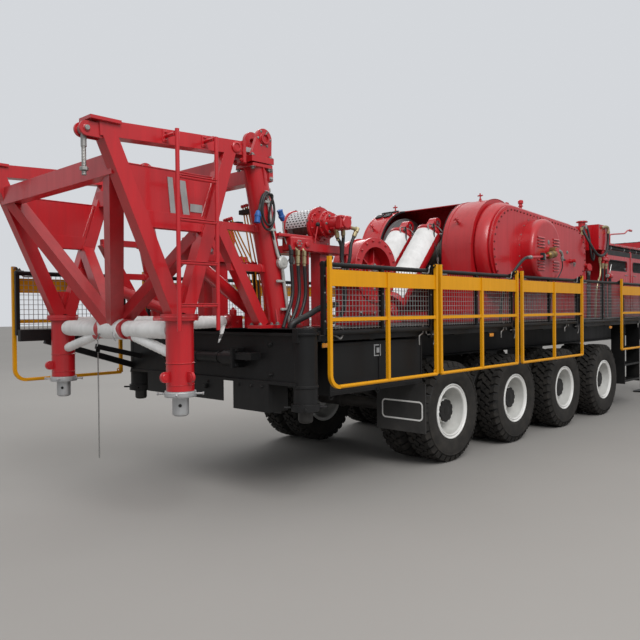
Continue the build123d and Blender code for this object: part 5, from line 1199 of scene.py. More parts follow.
# grease valve low on the front of the case
turned((0.62, -1.105, 2.34), NEAR, [(0, 0.034), (0.02, 0.034), (0.024, 0.026), (0.085, 0.026), (0.09, 0.018)],
    18)
turned((0.62, -1.165, 2.34), DOWN, [(0, 0.022), (0.05, 0.022), (0.054, 0.014), (0.085, 0.014)], 6, 2)
turned((0.5, -1.106, 2.46), NEAR, [(0, 0.026), (0.006, 0.026), (0.01, 0.016), (0.018, 0.014)], 16, 2)
bronze = coated("oily bronze", (0.3, 0.19, 0.07), 0.34, metal=0.85, fade=0.5, under=(0.45, 0.33, 0.16),
    wear=0.6, edge=0.002, dust=0.2, scale=9)
old_red = coated("dulled red enamel", (0.16, 0.008, 0.01), 0.45, wear=0.3, bump=0.1)
finishes = [red_gloss, seal_rubber, bolt_steel, cable_black, bronze, old_red]
piece("chain_case_lid_and_union", finishes)

# Rotary drive
# A cast gear case with a flared, ribbed rim round its output flange, bolted to a welded box.
rotary_x, rotary_z = -3.7, 2.05
ring((rotary_x, -0.905, rotary_z), NEAR, 0.236, 0.332, 0.031, 64)
ring((rotary_x, -0.7, rotary_z), NEAR, 0.318, 0.336, 0.04, 64)
bolt_ring((rotary_x, -0.936, rotary_z), NEAR, 0.3, 18, 0.022)
for k in range(6):
    a = 2 * pi * (k + 0.3) / 6
    way = Vector((cos(a), 0, sin(a)))
    centre = Vector((rotary_x, 0, rotary_z))
    fin((centre + way * 0.078 + Vector((0, -0.812, 0)), centre + way * 0.234 + Vector((0, -0.812, 0)),
        centre + way * 0.234 + Vector((0, -0.865, 0)), centre + way * 0.078 + Vector((0, -0.885, 0))),
        (-way.z, 0, way.x))
    bolt(centre + way * 0.058 + Vector((0, -0.9, 0)), NEAR, 0.02, 1)
turned((rotary_x, -0.899, rotary_z), NEAR, [(0, 0.034), (0.026, 0.034), (0.03, 0.028)], 24, 1)
slab((-3.96, -0.925, 1.6), (-3.7, -0.908, 1.88), 0.004)
bolts((-3.94, -3.72), -0.925, (1.62, 1.86), NEAR, 0.02, 1)
slab((-3.62, -0.916, 1.66), (-3.5, -0.908, 1.82), 0.004, 1)
piece("rotary_drive_fittings", [red_gloss, bolt_steel])


# Winches
# A small winch sits on a table on each side: a red gearbox and motor, a cable drum and a guard.
# The guards are rolled from silver-painted sheet, punched with staggered slots; oil hoses drop to the deck.
dress(red_gloss, "winch_frames")
dress(ground_steel, "winch_drum_near", "winch_drum_far")
guard_silver = coated("silver guard paint", (0.62, 0.63, 0.64), 0.38, metal=0.35, fade=0.2,
    under=(0.25, 0.24, 0.23), wear=0.7, edge=0.003, dust=0.1, scale=2)
brass_fitting = coated("yellow passivated steel", (0.5, 0.42, 0.24), 0.32, metal=0.8, under=(0.4, 0.38, 0.32),
    edge=0.002, dust=0.2, scale=9)
winch_x, winch_z = -4.48, 2.44
guard_radius, guard_sheet = 0.16, 0.004
guard_start, guard_end = radians(-7.2), radians(187.2)
slot_rows, slot_columns = 21, 7
for side, label in near_and_far:
    # the punched sheet: rows of cells round the arc, each with an oval slot; every second row is
    # set off by half a cell
    low_y, high_y = 0.5824, 0.8796
    cell_wide, turn_step = (high_y - low_y) / slot_columns, (guard_end - guard_start) / slot_rows
    corners = {}

    def sheet_point(turn, across):
        """Gives the sheet's vertex at an angle and a place across, made once."""
        key = (round(turn, 5), round(across, 5))
        if key not in corners:
            corners[key] = work.verts.new((winch_x + guard_radius * cos(turn), side * across,
                winch_z + guard_radius * sin(turn)))
        return corners[key]

    for row in range(slot_rows):
        start = guard_start + turn_step * row
        middle, end = start + turn_step / 2, start + turn_step
        breaks = [low_y + cell_wide * (k + row % 2 / 2) for k in range(slot_columns + 1 - row % 2)]
        breaks = sorted({round(spot, 6) for spot in breaks + [low_y, high_y]})
        for left, right in zip(breaks, breaks[1:]):
            centre = (left + right) / 2
            steps = round((right - left) / (cell_wide / 4))
            edge = [left + (right - left) * k / steps for k in range(steps + 1)]
            rim = [(start, a) for a in edge] + [(middle, right)] + [(end, a)
                for a in reversed(edge)] + [(middle, left)]
            outer = [sheet_point(*spot) for spot in rim]
            if steps < 4:
                work.faces.new(outer)
                continue
            hole = []
            for turn, across in rim:
                out_turn, out_across = (turn - middle) / (turn_step / 2), (across - centre) / (cell_wide / 2)
                length = hypot(out_turn, out_across)
                hole.append(sheet_point(middle + out_turn / length * turn_step * 0.27,
                    centre + out_across / length * cell_wide * 0.345))
            for i in range(len(rim)):
                work.faces.new((outer[i - 1], outer[i], hole[i], hole[i - 1]))
    bmesh.ops.remove_doubles(work, verts=work.verts, dist=0.0002)
    faces = list(work.faces)
    bmesh.ops.recalc_face_normals(work, faces=faces)
    if sum((f.calc_center_median() - Vector((winch_x, side * 0.731, winch_z))).dot(f.normal)
            for f in faces) < 0:
        bmesh.ops.reverse_faces(work, faces=faces)
    bmesh.ops.solidify(work, geom=faces, thickness=guard_sheet)
    punched = piece(f"punched_guard_{label}", guard_silver, angle=50)
    if side < 0:
        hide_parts("winch_guards")
    for y in (0.582, 0.875):
        band((winch_x, winch_z), 0.146, 0.016, side * y, side * (y + 0.005), -7, 187)
    for angle in (10, 90, 170):
        way = spoke_at(angle)
        for y in (0.571, 0.891):
            bolt(Vector((winch_x, side * y, winch_z)) + way * 0.172, way, 0.014, 1)
    # gearbox flanges with their bolts, and the motor's square block
    out = (0, side, 0)
    ring((winch_x, side * 0.902, winch_z), out, 0.1, 0.15, 0.012, 48)
    ring((winch_x, side * 0.985, winch_z), out, 0.1, 0.124, 0.016, 48)
    ring((winch_x, side * 1.026, winch_z), out, 0.066, 0.104, 0.02, 40)
    bolt_ring((winch_x, side * 0.914, winch_z), out, 0.136, 12, 0.018, 0, 0.5)
    bolt_ring((winch_x, side * 1.001, winch_z), out, 0.113, 12, 0.013, 0, 0.5)
    bolt_ring((winch_x, side * 1.046, winch_z), out, 0.082, 6, 0.016, 1)
    slab((winch_x - 0.06, side * 1.055, winch_z - 0.06), (winch_x + 0.06, side * 1.125, winch_z + 0.06),
        0.008)
    slab((winch_x - 0.072, side * 1.145, winch_z - 0.062), (winch_x + 0.072, side * 1.215, winch_z + 0.062),
        0.01)
    turned((winch_x, side * 1.213, winch_z), out, [(0, 0.058), (0.014, 0.058), (0.02, 0.05)], 28)
    bolt_square((winch_x, side * 1.2145, winch_z), (0.055, 0, 0.045), out, 0.017)
    # hose ends on the motor and gearbox, and the hoses down to the deck
    # columns: place across of the hose and of its port, how far the port is from the fitting,
    # and the hose's points
    for y, port_y, port_x, spots in ((1.11, 1.06, 0.0, ((-0.022, -0.05), (-0.002, -0.137), (0.041, -0.194),
            (0.054, -0.332))), (1.1, 1.05, 0.0, ((0.083, -0.022), (0.087, -0.131), (0.074, -0.252),
            (0.07, -0.33))), (1.2, 1.2, -0.1, ((0.162, -0.05), (0.109, -0.14), (0.078, -0.2),
            (0.054, -0.339)))):
        spots = [Vector((winch_x + x, side * y, winch_z + z)) for x, z in spots]
        down = (spots[1] - spots[0]).normalized()
        pipe((spots[0].x + port_x, side * port_y, spots[0].z + 0.01), spots[0], 0.017, 12, 3)
        turned(spots[0], down, [(-0.02, 0.016), (-0.016, 0.024), (0.025, 0.024), (0.03, 0.016)], 6, 3)
        turned(spots[0] + down * 0.03, down, [(0, 0.015), (0.004, 0.021), (0.05, 0.021), (0.055, 0.015),
            (0.08, 0.015)], 10, 3)
        hose([spots[0] + down * 0.08] + spots[1:] + [(spots[3].x - 0.03, side * 1.16, 1.9),
            (spots[3].x - 0.05, side * 1.17, 1.7), (spots[3].x - 0.11, side * 1.16, 1.575),
            (spots[3].x - 0.24, side * 1.15, 1.525)], 0.0155, 4)
    # brake lever with its ball knob
    hose([(winch_x - 0.18, side * 0.99, 2.245), (winch_x - 0.165, side * 0.99, 2.32),
        (winch_x - 0.15, side * 0.99, 2.37), (winch_x - 0.138, side * 0.99, 2.425)], 0.007, 0, 8)
    ball = bmesh.ops.create_uvsphere(work, u_segments=16, v_segments=10, radius=0.021,
        matrix=Matrix.Translation((winch_x - 0.137, side * 0.99, 2.43)))
    for vert in ball["verts"]:
        for face in vert.link_faces:
            face.material_index = 2
    bolt_square((winch_x, side * 0.731, 2.25), (0.09, 0.16, 0), UP, 0.026, 1, 0.03)
    finishes = [red_gloss, bolt_steel, seal_rubber, brass_fitting, cable_black]
    piece(f"winch_motor_and_fittings_{label}", finishes)
    # cable on the drum
    turns = [(0, 0.072)] + [(0.003 + 0.0185 * k + d, 0.082 + h) for k in range(13)
        for d, h in ((0, 0), (0.005, 0.006), (0.009, 0.008), (0.013, 0.006))] + [(0.248, 0.072)]
    turned((winch_x, side * 0.607, winch_z), (0, side, 0), turns, 40)
    piece(f"winch_rope_{label}", rope_steel, f"winch_drum_{label}", 60)

# Valve block on the table's edge, with its fittings and the hoses that run down behind the corner post.
slab((-5.11, -1.0, 2.29), (-4.7, -0.8, 2.316))
slab((-4.99, -1.03, 2.168), (-4.715, -0.9, 2.292), 0.012)
bolts((-5.07, -4.74), (-0.97, -0.84), 2.316, UP, 0.018, 1)
turned((-4.92, -1.03, 2.232), NEAR, [(0, 0.036), (0.026, 0.036), (0.03, 0.028)])
turned((-4.8, -1.03, 2.232), NEAR, [(0, 0.026), (0.016, 0.026), (0.02, 0.02)])
bolt_ring((-4.92, -1.059, 2.232), NEAR, 0.024, 6, 0.01, 1)
hose([(-4.55, -1.15, 1.7), (-4.7, -1.15, 1.685), (-4.8, -1.15, 1.658), (-4.93, -1.15, 1.603),
    (-5.05, -1.15, 1.562), (-5.1, -1.14, 1.535), (-5.115, -1.13, 1.5)], 0.026, 4, 14)
for k, x in enumerate((-5.008, -4.936, -4.848)):
    y = -1.04 - 0.01 * (k % 2)
    made = 4 if k == 0 else 3
    pipe((x, y, 2.165), (x + 0.02 * (k == 0), -1.0, 2.215), 0.013, 10, made)
    turned((x, y, 2.175), DOWN, [(0, 0.014), (0.004, 0.022), (0.045, 0.022), (0.05, 0.014)], 6, made)
    turned((x, y, 2.125), DOWN, [(0, 0.014), (0.004, 0.0195), (0.065, 0.0195), (0.07, 0.014), (0.1, 0.014)],
        10, made)
    hose([(x, y, 2.04), (x + 0.01, y, 1.93), (x + 0.004, y - 0.01, 1.8), (x - 0.035, y - 0.02, 1.69),
        (x - 0.09, y - 0.03, 1.6), (x - 0.13 - 0.02 * k, y - 0.03, 1.505)], 0.0155, 4)
slab((-4.83, -0.99, 2.17), (-4.13, -0.972, 2.19))
for x in (-4.74, -4.22):
    slab((x - 0.006, -0.99, 2.06), (x + 0.006, -0.9, 2.18), 0.002)
bolts((-4.74, -4.22), (-0.94, -0.56, 0.56, 0.94), 2.25, UP, 0.024, 1)
for side in (-1, 1):
    for y in (0.62, 0.88):
        for x in (-4.545, -4.425):
            seam((x, side * (y - 0.06), 1.503), (x, side * (y + 0.06), 1.503), 0.007)
        for cheek in (-0.0625, 0.0625):
            seam((-4.54, side * y + cheek, 2.178), (-4.42, side * y + cheek, 2.178), 0.007)
piece("winch_valve_block", [red_gloss, bolt_steel, seal_rubber, brass_fitting, cable_black])


# Folding walkways
# Eight panels of black tube are hinged to the deck's edge and stand upright for the road.
# Each carries welded wire mesh as its floor, and bent pins hold it at its ends.
mesh_zinc = coated("galvanised mesh wire", (0.4, 0.41, 0.41), 0.4, metal=0.7, fade=0.4,
    under=(0.25, 0.24, 0.22), wear=0.3, edge=0.001, bump=0.15, scale=8)
rail_yellow = coated("yellow rail enamel", (0.72, 0.315, 0.003), 0.34, fade=0.14, under=(0.35, 0.1, 0.03),
    wear=0.4, edge=0.003, dust=0.05, high=1.0, grime=(0.3, 0.2, 0.06), bump=0.05, scale=1.0, gloss=0.22)
# columns: name, side, rear end, front end, first rail post, rounded rear corner
panels = (("near_1", -1, -4.95, -3.344, -4.95, True), ("near_2", -1, -3.296, -1.634, -3.296, False),
    ("near_3", -1, -1.536, 0.276, -1.536, False), ("near_4", -1, 0.324, 3.8, 1.78, False),
    ("far_1", 1, -6.38, -5.21, -6.38, True), ("far_2", 1, -4.94, -1.634, -4.94, False),
    ("far_3", 1, -1.536, 0.276, -1.536, False), ("far_4", 1, 0.324, 3.8, 1.78, False))
panel_y, panel_foot, panel_top, rail_y = 1.345, 1.455, 2.035, 1.42
wire, wire_pitch = 0.0024, 0.0455


def wire_rod(start, end, radius):
    """Adds one square-cut wire of the mesh."""
    start, end = Vector(start), Vector(end)
    way = (end - start).normalized()
    side = FAR
    other = way.cross(side)
    corners = [(side * a + other * b) * radius for a, b in ((1, 1), (-1, 1), (-1, -1), (1, -1))]
    cover([[at + corner for corner in corners] for at in (start, end)])


for name, side, rear, front, first_post, rounded in panels:
    dress(black_steel, f"walkway_{name}")
    y = side * panel_y
    low, high = panel_foot + 0.04, panel_top - 0.018
    for k in range(round((high - low) / wire_pitch) + 1):
        z = low + (high - low) * k / round((high - low) / wire_pitch)
        wire_rod((rear + 0.012, y + side * 0.0022, z), (front - 0.012, y + side * 0.0022, z), wire)
    count = round((front - rear - 0.07) / wire_pitch)
    for k in range(count + 1):
        x = rear + 0.035 + (front - rear - 0.07) * k / count
        wire_rod((x, y - side * 0.0022, low - 0.012), (x, y - side * 0.0022, high + 0.01), wire)
    piece(f"walkway_mesh_{name}", mesh_zinc, f"walkway_{name}", 20)
    out = side * 0.034
    for end, way in ((rear, 1), (front, -1)):
        # bent retaining pin at the top tube's end, its chain lug and the end plug
        z = panel_top - 0.002
        hose([(end + way * 0.055, y + out, z + 0.052), (end + way * 0.075, y + out, z + 0.02),
            (end + way * 0.08, y + out, z - 0.012), (end + way * 0.105, y + out, z - 0.026),
            (end + way * 0.15, y + out, z - 0.026), (end + way * 0.2, y + out, z - 0.024)], 0.007, 1, 8)
        turned((end - way * 0.001, y, panel_top), (way, 0, 0),
            [(0, 0.019), (0.003, 0.027), (0.03, 0.027), (0.033, 0.022)], 18)
        slab((min(end + way * 0.05, end + way * 0.09), y - 0.016 + out * 0.6, z + 0.012),
            (max(end + way * 0.05, end + way * 0.09), y + 0.016 + out * 0.6, z + 0.03))
    # mesh held by welded flats along the posts
    bays = max(2, round((front - rear) / 0.85))
    for i in range(bays + 1):
        x = rear + 0.018 + (front - rear - 0.036) * i / bays
        slab((x - 0.014, y + side * 0.0175 - 0.002, low), (x + 0.014, y + side * 0.0175 + 0.002, high), 0.001)
        bolts(x, y + side * 0.0195, (panel_foot + 0.1, panel_foot + 0.34, panel_top - 0.1), (0, side, 0),
            0.01, 1)
    piece(f"walkway_pins_{name}", [black_steel, bolt_steel], f"walkway_{name}")

    # Handrail: yellow square tube with a kick plate, welded at every joint; latch pins at its joints.
    dress(rail_yellow, f"handrail_{name}")
    y = side * rail_y
    rail_bays = max(2, round((front - first_post) / 0.85))
    for i in range(rail_bays + 1):
        x = first_post + 0.016 + (front - 0.032 - first_post) * i / rail_bays
        for z in (1.57 - 0.016, 1.57 + 0.016, 1.852, 1.988):
            for shift in (-0.0165, 0.0165):
                if first_post < x + shift < front:
                    seam((x + shift, y - 0.012, z), (x + shift, y + 0.012, z), 0.004)
        if 0 < i < rail_bays:
            slab((x - 0.004, y + side * 0.001, 1.852), (x + 0.004, y + side * 0.004, 1.989), 0.001)
        else:
            slab((x - 0.015, y - 0.015, 2.0995), (x + 0.015, y + 0.015, 2.1025), 0.001, 1)
    if first_post + 0.2 < front:
        for x, way in ((first_post, 1), (front, -1)):
            turned((x + way * 0.016, y - side * 0.0155, 2.085), (0, -side, 0),
                [(0, 0.012), (0.006, 0.012), (0.008, 0.008)], 8, 2)
            # lug with a hole on the lower corner
            if not (rounded and way > 0):
                lug_x = x + way * 0.045
                ring((lug_x, y - 0.003, 1.028), FAR, 0.009, 0.02, 0.006, 20)
    piece(f"handrail_welds_{name}", [rail_yellow, seal_rubber, bolt_steel],
        f"handrail_{name}")

# Latch pins and hooks along the deck's edge hold the rails and panels for the road.
# They are bent from zinc-plated bar, each with a small chain lug, and hang from welded eyes.
for x, z, tall in ((-3.45, 1.425, 0.13), (-1.79, 1.42, 0.11), (-0.02, 1.425, 0.09), (2.9, 1.42, 0.1)):
    y = -1.318
    turned((x, -1.3, z + 0.02), NEAR, [(0, 0.016), (0.012, 0.016), (0.016, 0.01)], 14)
    hose([(x + 0.004, y, z + 0.075), (x, y, z + 0.03), (x, y, z - 0.01), (x - 0.045, y - 0.004, z - 0.03),
        (x - 0.065, y - 0.004, z - 0.05), (x - 0.06, y - 0.002, z - tall)], 0.0075, 1, 8)
    hose([(x, y, z + 0.01), (x + 0.045, y - 0.003, z + 0.015), (x + 0.06, y - 0.004, z - 0.02)], 0.007, 1, 8)
y = -1.322
hose([(-5.02, y, 1.438), (-4.9, y, 1.44), (-4.8, y - 0.002, 1.438), (-4.74, y - 0.004, 1.418),
    (-4.7, y - 0.004, 1.4), (-4.67, y - 0.002, 1.43), (-4.66, y, 1.47), (-4.675, y, 1.5)], 0.008, 1, 8)
slab((-4.995, -1.345, 1.4), (-4.965, -1.3, 1.475), 0.004)
for x in (-3.32, -1.585, 0.3):
    slab((x - 0.016, -1.337, 1.36), (x + 0.016, -1.298, 1.425), 0.004)
    pipe((x - 0.06, -1.328, 1.395), (x + 0.055, -1.328, 1.395), 0.0065, 10, 1)
    hose([(x + 0.055, -1.328, 1.395), (x + 0.068, -1.328, 1.37), (x + 0.06, -1.326, 1.32),
        (x + 0.045, -1.324, 1.29)], 0.006, 1, 8)
piece("edge_hooks_and_pins", [black_steel, bolt_steel])


# Riser, control box and valves before the case
# A welded box on the case's front holds the air controls; a hose loops under it from the riser's elbow.
# Below hang the oil valves with their passivated fittings and a hand lever.
box_y = -1.18
for x0, x1, z0, z1 in ((1.5, 1.9, 2.56, 2.58), (1.5, 1.9, 2.93, 2.95), (1.5, 1.52, 2.58, 2.93),
        (1.88, 1.9, 2.58, 2.93)):
    slab((x0 + 0.002, box_y - 0.004, z0), (x1 - 0.002, box_y + 0.002, z1), 0.0015)
bolts((1.535, 1.865), box_y, (2.595, 2.75, 2.915), NEAR, 0.016, 1)
hose([(1.62, box_y - 0.004, 2.9), (1.7, box_y - 0.02, 2.925), (1.78, box_y - 0.03, 2.925),
    (1.805, box_y - 0.035, 2.9), (1.81, box_y - 0.035, 2.84)], 0.021, 4)
turned((1.81, box_y - 0.035, 2.86), DOWN, [(0, 0.018), (0.004, 0.027), (0.035, 0.027), (0.04, 0.018)], 6, 4)
hose([(1.81, box_y - 0.035, 2.83), (1.8, box_y - 0.035, 2.7), (1.74, box_y - 0.038, 2.56),
    (1.62, box_y - 0.04, 2.485), (1.46, box_y - 0.042, 2.455), (1.33, box_y - 0.04, 2.475),
    (1.2, box_y - 0.032, 2.55), (1.15, box_y + 0.02, 2.68), (1.155, box_y + 0.09, 2.82),
    (1.19, box_y + 0.12, 2.895)], 0.02, 3)
turned((1.165, -1.06, 2.76), UP, [(0, 0.016), (0.004, 0.026), (0.04, 0.026), (0.045, 0.018), (0.07, 0.018),
    (0.075, 0.03), (0.12, 0.03), (0.125, 0.018)], 6, 4)
for x in (1.72, 1.86):
    turned((x, -1.16, 2.475), DOWN, [(0, 0.02), (0.02, 0.042), (0.075, 0.046), (0.09, 0.03), (0.12, 0.026)],
        20)
    pipe((x, -1.16, 2.56), (x, -1.16, 2.465), 0.022, 14)
    turned((x, -1.16, 2.36), DOWN, [(0, 0.018), (0.004, 0.026), (0.045, 0.026), (0.05, 0.019), (0.09, 0.019)],
        6, 4)
    hose([(x, -1.16, 2.29), (x - 0.01, -1.165, 2.15), (x - 0.05, -1.17, 1.95), (x - 0.06, -1.18, 1.7),
        (x - 0.06, -1.18, 1.505)], 0.016, 3)
slab((1.66, -1.2, 2.395), (1.92, -1.12, 2.44), 0.01)
hose([(1.58, -1.17, 2.36), (1.585, -1.175, 2.26), (1.55, -1.18, 2.15), (1.47, -1.18, 2.05),
    (1.42, -1.17, 1.85), (1.41, -1.16, 1.505)], 0.013, 4, 10)
turned((1.58, -1.17, 2.44), DOWN, [(0, 0.018), (0.004, 0.024), (0.05, 0.024), (0.055, 0.018), (0.09, 0.018)],
    6, 4)
# ball valve with its lever, on a stub from the deck
pipe((1.8, -1.24, 1.505), (1.8, -1.24, 2.12), 0.024, 14, 2)
turned((1.72, -1.24, 2.155), AHEAD, [(0, 0.024), (0.03, 0.024), (0.035, 0.042), (0.115, 0.042), (0.12, 0.024),
    (0.15, 0.024)], 20)
turned((1.695, -1.24, 2.155), AHEAD, [(0, 0.03), (0.03, 0.03)], 6, 5)
pipe((1.79, -1.24, 2.19), (1.79, -1.24, 2.215), 0.012, 10, 5)
slab((1.775, -1.252, 2.212), (1.805, -1.228, 2.22), 0.002, 5)
hose([(1.79, -1.24, 2.216), (1.81, -1.24, 2.235), (1.84, -1.24, 2.29), (1.87, -1.24, 2.34)], 0.008, 5, 8)
zinc_valve = coated("bright zinc fittings", (0.62, 0.62, 0.6), 0.3, metal=0.7, wear=0.4, edge=0.002, dust=0.2,
    scale=8)
finishes = [red_gloss, bolt_steel, seal_rubber, cable_black, brass_fitting, zinc_valve]
piece("control_box_and_valves", finishes)

# Engine house
# The engines stand in a house of red sheet under a light roof on posts, with a gap for air all round.
# Rubber-edged windows hold black wire grilles, and a black air duct runs along under each eave.
dress(red_gloss, "engine_house")
house_y, duct_y, duct_z = 1.1, 1.062, 2.636
roof_grey = coated("grey roof paint", (0.33, 0.34, 0.345), 0.5, fade=0.25, under=(0.2, 0.15, 0.12), dust=0.4,
    bump=0.1, scale=1.0)
dress(roof_grey, "house_roof")
grille_wire_and_shade_black = coated("black grille wire and painted shade", (0.012, 0.012, 0.013), 0.5, wear=0.2, dust=0.35, bump=0.1)


def roof_z(y):
    """Gives the height of the curved roof sheet at a place across."""
    return 2.69 + 0.09 * (1 - (y / 1.13) ** 2)


def edging(centre, run, way, half_wide, half_tall, corner, wide, deep=0.006):
    """Adds a rubber edging round a rounded opening in a wall that runs one way and faces another."""
    rings = []
    for grow, out in ((0, 0), (0, deep), (wide, deep), (wide, 0)):
        rings.append([])
        for quarter, (along, rise) in enumerate(((1, 1), (-1, 1), (-1, -1), (1, -1))):
            for k in range(7):
                a = radians(90 * quarter + 15 * k)
                over = along * (half_wide - corner) + (corner + grow) * cos(a)
                high = rise * (half_tall - corner) + (corner + grow) * sin(a)
                rings[-1].append(Vector(centre) + Vector(run) * over + Vector(way) * out
                    + Vector((0, 0, high)))
    cover(rings, 1, looped=True, ends=False)


for side in (-1, 1):
    face = side * house_y
    for x in (2.55, 3.678):
        edging((x, face, 2.355), AHEAD, (0, side, 0), 0.41, 0.075, 0.04, 0.014)
        # grille wires behind the opening, crossed like a woven mesh
        y = side * 1.084
        for k in range(30):
            wire_x = x - 0.402 + 0.804 * k / 29
            pipe((wire_x, y - side * 0.002, 2.274), (wire_x, y - side * 0.002, 2.436), 0.0036, 6, 2)
        for k in range(7):
            pipe((x - 0.412, y + side * 0.002, 2.292 + 0.126 * k / 6),
                (x + 0.412, y + side * 0.002, 2.292 + 0.126 * k / 6), 0.0036, 6, 2)
        # a black sheet behind each grille: painted shade of the house's dark inside
        slab((x - 0.44, side * 1.045, 2.262), (x + 0.44, side * 1.049, 2.448), 0.001, 2)
    # black band over the windows, painted shade for the air gap under the roof; the duct below the eave with
    # its straps, and the wall's sheet joints
    for x0, x1 in ((1.96, 3.12), (3.18, 4.34)):
        slab((x0, side * 1.0985, 2.515), (x1, side * 1.104, 2.598), 0.0015, 2)
    pipe((1.965, side * duct_y, duct_z), (4.335, side * duct_y, duct_z), 0.034, 28, 1)
    for x in (2.25, 2.85, 3.45, 4.05):
        ring((x, side * duct_y, duct_z), AHEAD, 0.033, 0.037, 0.03, 28, 4)
    for x in (1.975, 3.15, 4.325):
        slab((x - 0.02, side * 1.099, 1.53), (x + 0.02, side * 1.108, 2.6), 0.002)
        bolts(x, side * 1.108, (1.6, 1.9, 2.2, 2.5), (0, side, 0), 0.014, 3)
    slab((1.96, side * 1.099, 1.53), (4.34, side * 1.112, 1.57), 0.002)
    # roof edge: red trim with its bolts
    slab((1.912, side * 1.118, 2.668), (4.388, side * 1.134, 2.7))
    for k in range(9):
        bolt((2.0 + 0.286 * k, side * 1.134, 2.684), (0, side, 0), 0.014, 3)
    # doors in the wall's lower half, with hinges and lift handles
    for x in (2.55, 3.7):
        slab((x - 0.45, side * 1.0995, 1.62), (x + 0.45, side * 1.106, 2.2))
        for dx in (-0.36, 0.36):
            pipe((x + dx - 0.05, side * 1.108, 2.203), (x + dx + 0.05, side * 1.108, 2.203), 0.009, 10, 3)
        hose([(x - 0.06, side * 1.104, 1.7), (x - 0.055, side * 1.135, 1.7), (x + 0.055, side * 1.135, 1.7),
            (x + 0.06, side * 1.104, 1.7)], 0.007, 3, 8)
# ribs across the roof, and a lifting eye at each corner
for x in (2.3, 2.85, 3.4, 3.95):
    rows = []
    for k in range(13):
        y = -1.1 + 2.2 * k / 12
        crest = roof_z(y)
        rows.append([(x + dx, y, crest + dz) for dx, dz in ((-0.024, -0.008), (-0.014, 0.014), (0.014, 0.014),
            (0.024, -0.008))])
    cover(rows, 4)
for x in (2.05, 4.25):
    for y in (-0.8, 0.8):
        z = roof_z(y)
        hose([(x, y - 0.035, z - 0.01), (x, y - 0.03, z + 0.03), (x, y, z + 0.055), (x, y + 0.03, z + 0.03),
            (x, y + 0.035, z - 0.01)], 0.009, 0, 10)
# front opening: edging, grille bars and the bent red rail on the roof
edging((4.35, 0, 2.05), FAR, AHEAD, 0.75, 0.38, 0.06, 0.016)
for k in range(17):
    z = 1.685 + 0.73 * k / 16
    fin(((4.3, 0, z - 0.012), (4.336, 0, z + 0.012), (4.336, 0, z + 0.015), (4.3, 0, z - 0.009)), FAR, 1.52)
hose([(2.73, -0.9, 2.7), (2.73, -0.9, 2.86), (2.76, -0.9, 2.905), (2.9, -0.9, 2.925), (3.2, -0.9, 2.955),
    (3.4, -0.9, 2.975), (3.47, -0.9, 2.99), (3.56, -0.9, 3.03), (3.63, -0.9, 3.052), (3.7, -0.9, 3.055)],
    0.013)
turned((3.69, -0.9, 3.0549), AHEAD, [(0, 0.014), (0.004, 0.021), (0.1, 0.021), (0.104, 0.016)], 14)
piece("engine_house_fittings", [red_gloss, seal_rubber, grille_wire_and_shade_black, bolt_steel, roof_grey],
    angle=40)

# Engines
# Two engines stand side by side on channel feet, painted dark.
# Covers, manifolds, filters and belt wheels are bolted on the castings.
engine_dark = coated("dark engine enamel", (0.045, 0.047, 0.05), 0.45, under=(0.1, 0.06, 0.04), dust=0.4,
    bump=0.2, scale=3)
dress(engine_dark, "engines")
for side in (-1, 1):
    y = side * 0.5
    for k in range(6):
        x = 2.42 + 0.26 * k
        slab((x - 0.1, y - 0.1, 2.345), (x + 0.1, y + 0.1, 2.42), 0.014)
        for dx in (-0.07, 0.07):
            bolt((x + dx, y, 2.42), UP, 0.018, 1)
        out = side * 0.81
        hose([(x, out - side * 0.02, 2.24), (x, out + side * 0.05, 2.25),
            (x + 0.02, out + side * 0.075, 2.29)], 0.022, 2)
    pipe((2.36, side * 0.895, 2.3), (3.86, side * 0.895, 2.3), 0.036, 20, 2)
    for x in (2.5, 2.72):
        turned((x, side * 0.86, 1.98), DOWN, [(0, 0.04), (0.01, 0.048), (0.2, 0.048), (0.22, 0.03)])
    for z, radius in ((1.82, 0.12), (2.1, 0.09)):
        turned((4.045, y, z), AHEAD, [(0, radius - 0.02), (0.02, radius), (0.035, radius - 0.012),
            (0.05, radius), (0.065, radius - 0.02)], 36, 1)
    for x in (2.45, 3.8):
        for dy in (-0.22, 0.22):
            bolt((x, y + dy, 1.625), UP, 0.03, 1)
    slab((2.26, y - 0.24, 1.66), (4.0, y + 0.24, 1.7), 0.006)
    seam((2.2, y - 0.31, 2.0), (4.05, y - 0.31, 2.0), 0.008)
    seam((2.2, y + 0.31, 2.0), (4.05, y + 0.31, 2.0), 0.008)
piece("engine_covers_and_pipes", [engine_dark, bolt_steel, spring_steel])

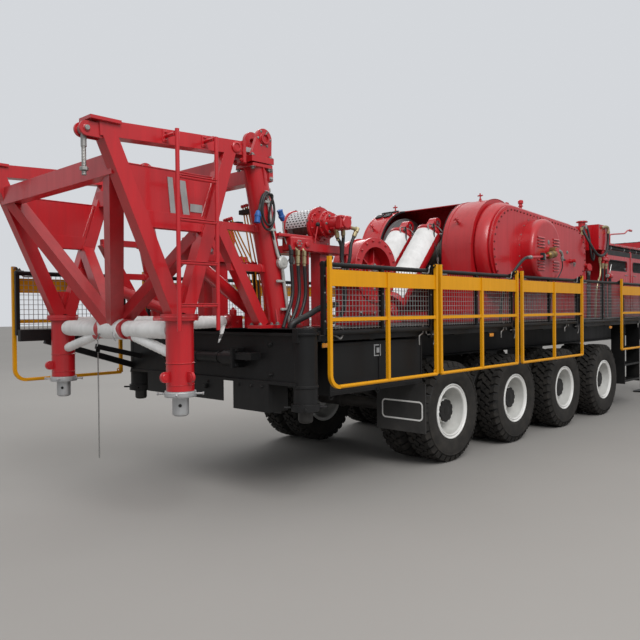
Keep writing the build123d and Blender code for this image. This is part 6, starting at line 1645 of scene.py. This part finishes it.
# Neck: tank, mast rest, kingpin and parking legs
# The neck carries a welded tank and the braced frame on which the front of the lowered mast lies.
# Both are of red plate and box tube; a rubber pad lies on the rest, and legs with screw gears stand below.
dress(red_gloss, "neck_tank", "mast_rest")
for x in (5.3, 5.64):
    slab((x - 0.022, -0.856, 1.7), (x + 0.022, 0.856, 2.256))
turned((5.475, 0.45, 2.25), UP, [(0, 0.075), (0.008, 0.075), (0.01, 0.06), (0.05, 0.06), (0.055, 0.07),
    (0.085, 0.07), (0.09, 0.06)], 32, 2)
turned((5.475, -0.45, 2.25), UP, [(0, 0.04), (0.02, 0.04), (0.022, 0.026), (0.09, 0.026), (0.094, 0.045),
    (0.12, 0.045)], 20, 3)
pipe((5.86, -0.55, 1.8), (5.86, -0.55, 2.18), 0.01, 12, 4)
for z in (1.8, 2.18):
    turned((5.848, -0.55, z), AHEAD, [(0, 0.022), (0.008, 0.022), (0.012, 0.016), (0.026, 0.014)], 16, 1)
for y in (-0.85, 0.85):
    for z in (1.695, 2.248):
        seam((5.105, y, z), (5.845, y, z), 0.007)
slab((6.425, -0.5, 3.0795), (6.575, 0.5, 3.094), 0.004, 2)
for y in (-0.62, 0.62):
    for z in (1.692, 2.958):
        for face in (-0.072, 0.072):
            seam((6.5 + face, y - 0.07, z), (6.5 + face, y + 0.07, z), 0.007)
            seam((6.43, y + face, z), (6.57, y + face, z), 0.007)
    slab((6.37, y - 0.13, 1.689), (6.63, y + 0.13, 1.706))
    bolt_square((6.5, y, 1.706), (0.11, 0.11, 0), UP, 0.028, 3)
for y in (-0.72, 0.72):
    for x in (6.44, 6.56):
        seam((x, y - 0.06, 3.082), (x, y + 0.06, 3.082))
bolts(6.5, (-0.4, -0.15, 0.15, 0.4), 3.093, UP, 0.018, 3)
piece("neck_fittings", [red_gloss, bolt_steel, seal_rubber, black_steel, lens_amber])
# air and electric couplings on the neck's front, and the kingpin's wear plate
for k, y in enumerate((-0.34, -0.17, 0.17, 0.34)):
    turned((6.868, y, 1.56), AHEAD, [(0, 0.034), (0.006, 0.034), (0.008, 0.026), (0.026, 0.024)], 20, 1
        if k % 3 else 2)
bolt_ring((6.1, 0, 1.204), DOWN, 0.15, 8, 0.02, 1)
for side in (-1, 1):
    y = side * 0.76
    slab((4.82, y - 0.085 if side > 0 else y - 0.11, 1.05), (4.98, y + 0.11 if side > 0 else y + 0.085, 1.22),
        0.01)
    turned((4.9, y + side * 0.105, 1.13), (0, side, 0), [(0, 0.03), (0.02, 0.03), (0.022, 0.018),
        (0.07, 0.018)], 16, 1)
    bolts((4.78, 5.02), y + side * 0.075, (0.95, 1.25), (0, side, 0), 0.02, 1)
piece("neck_couplings_and_gears", [black_steel, bolt_steel, plug_blue])

# Sizes: the bounds of everything shown
low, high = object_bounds()
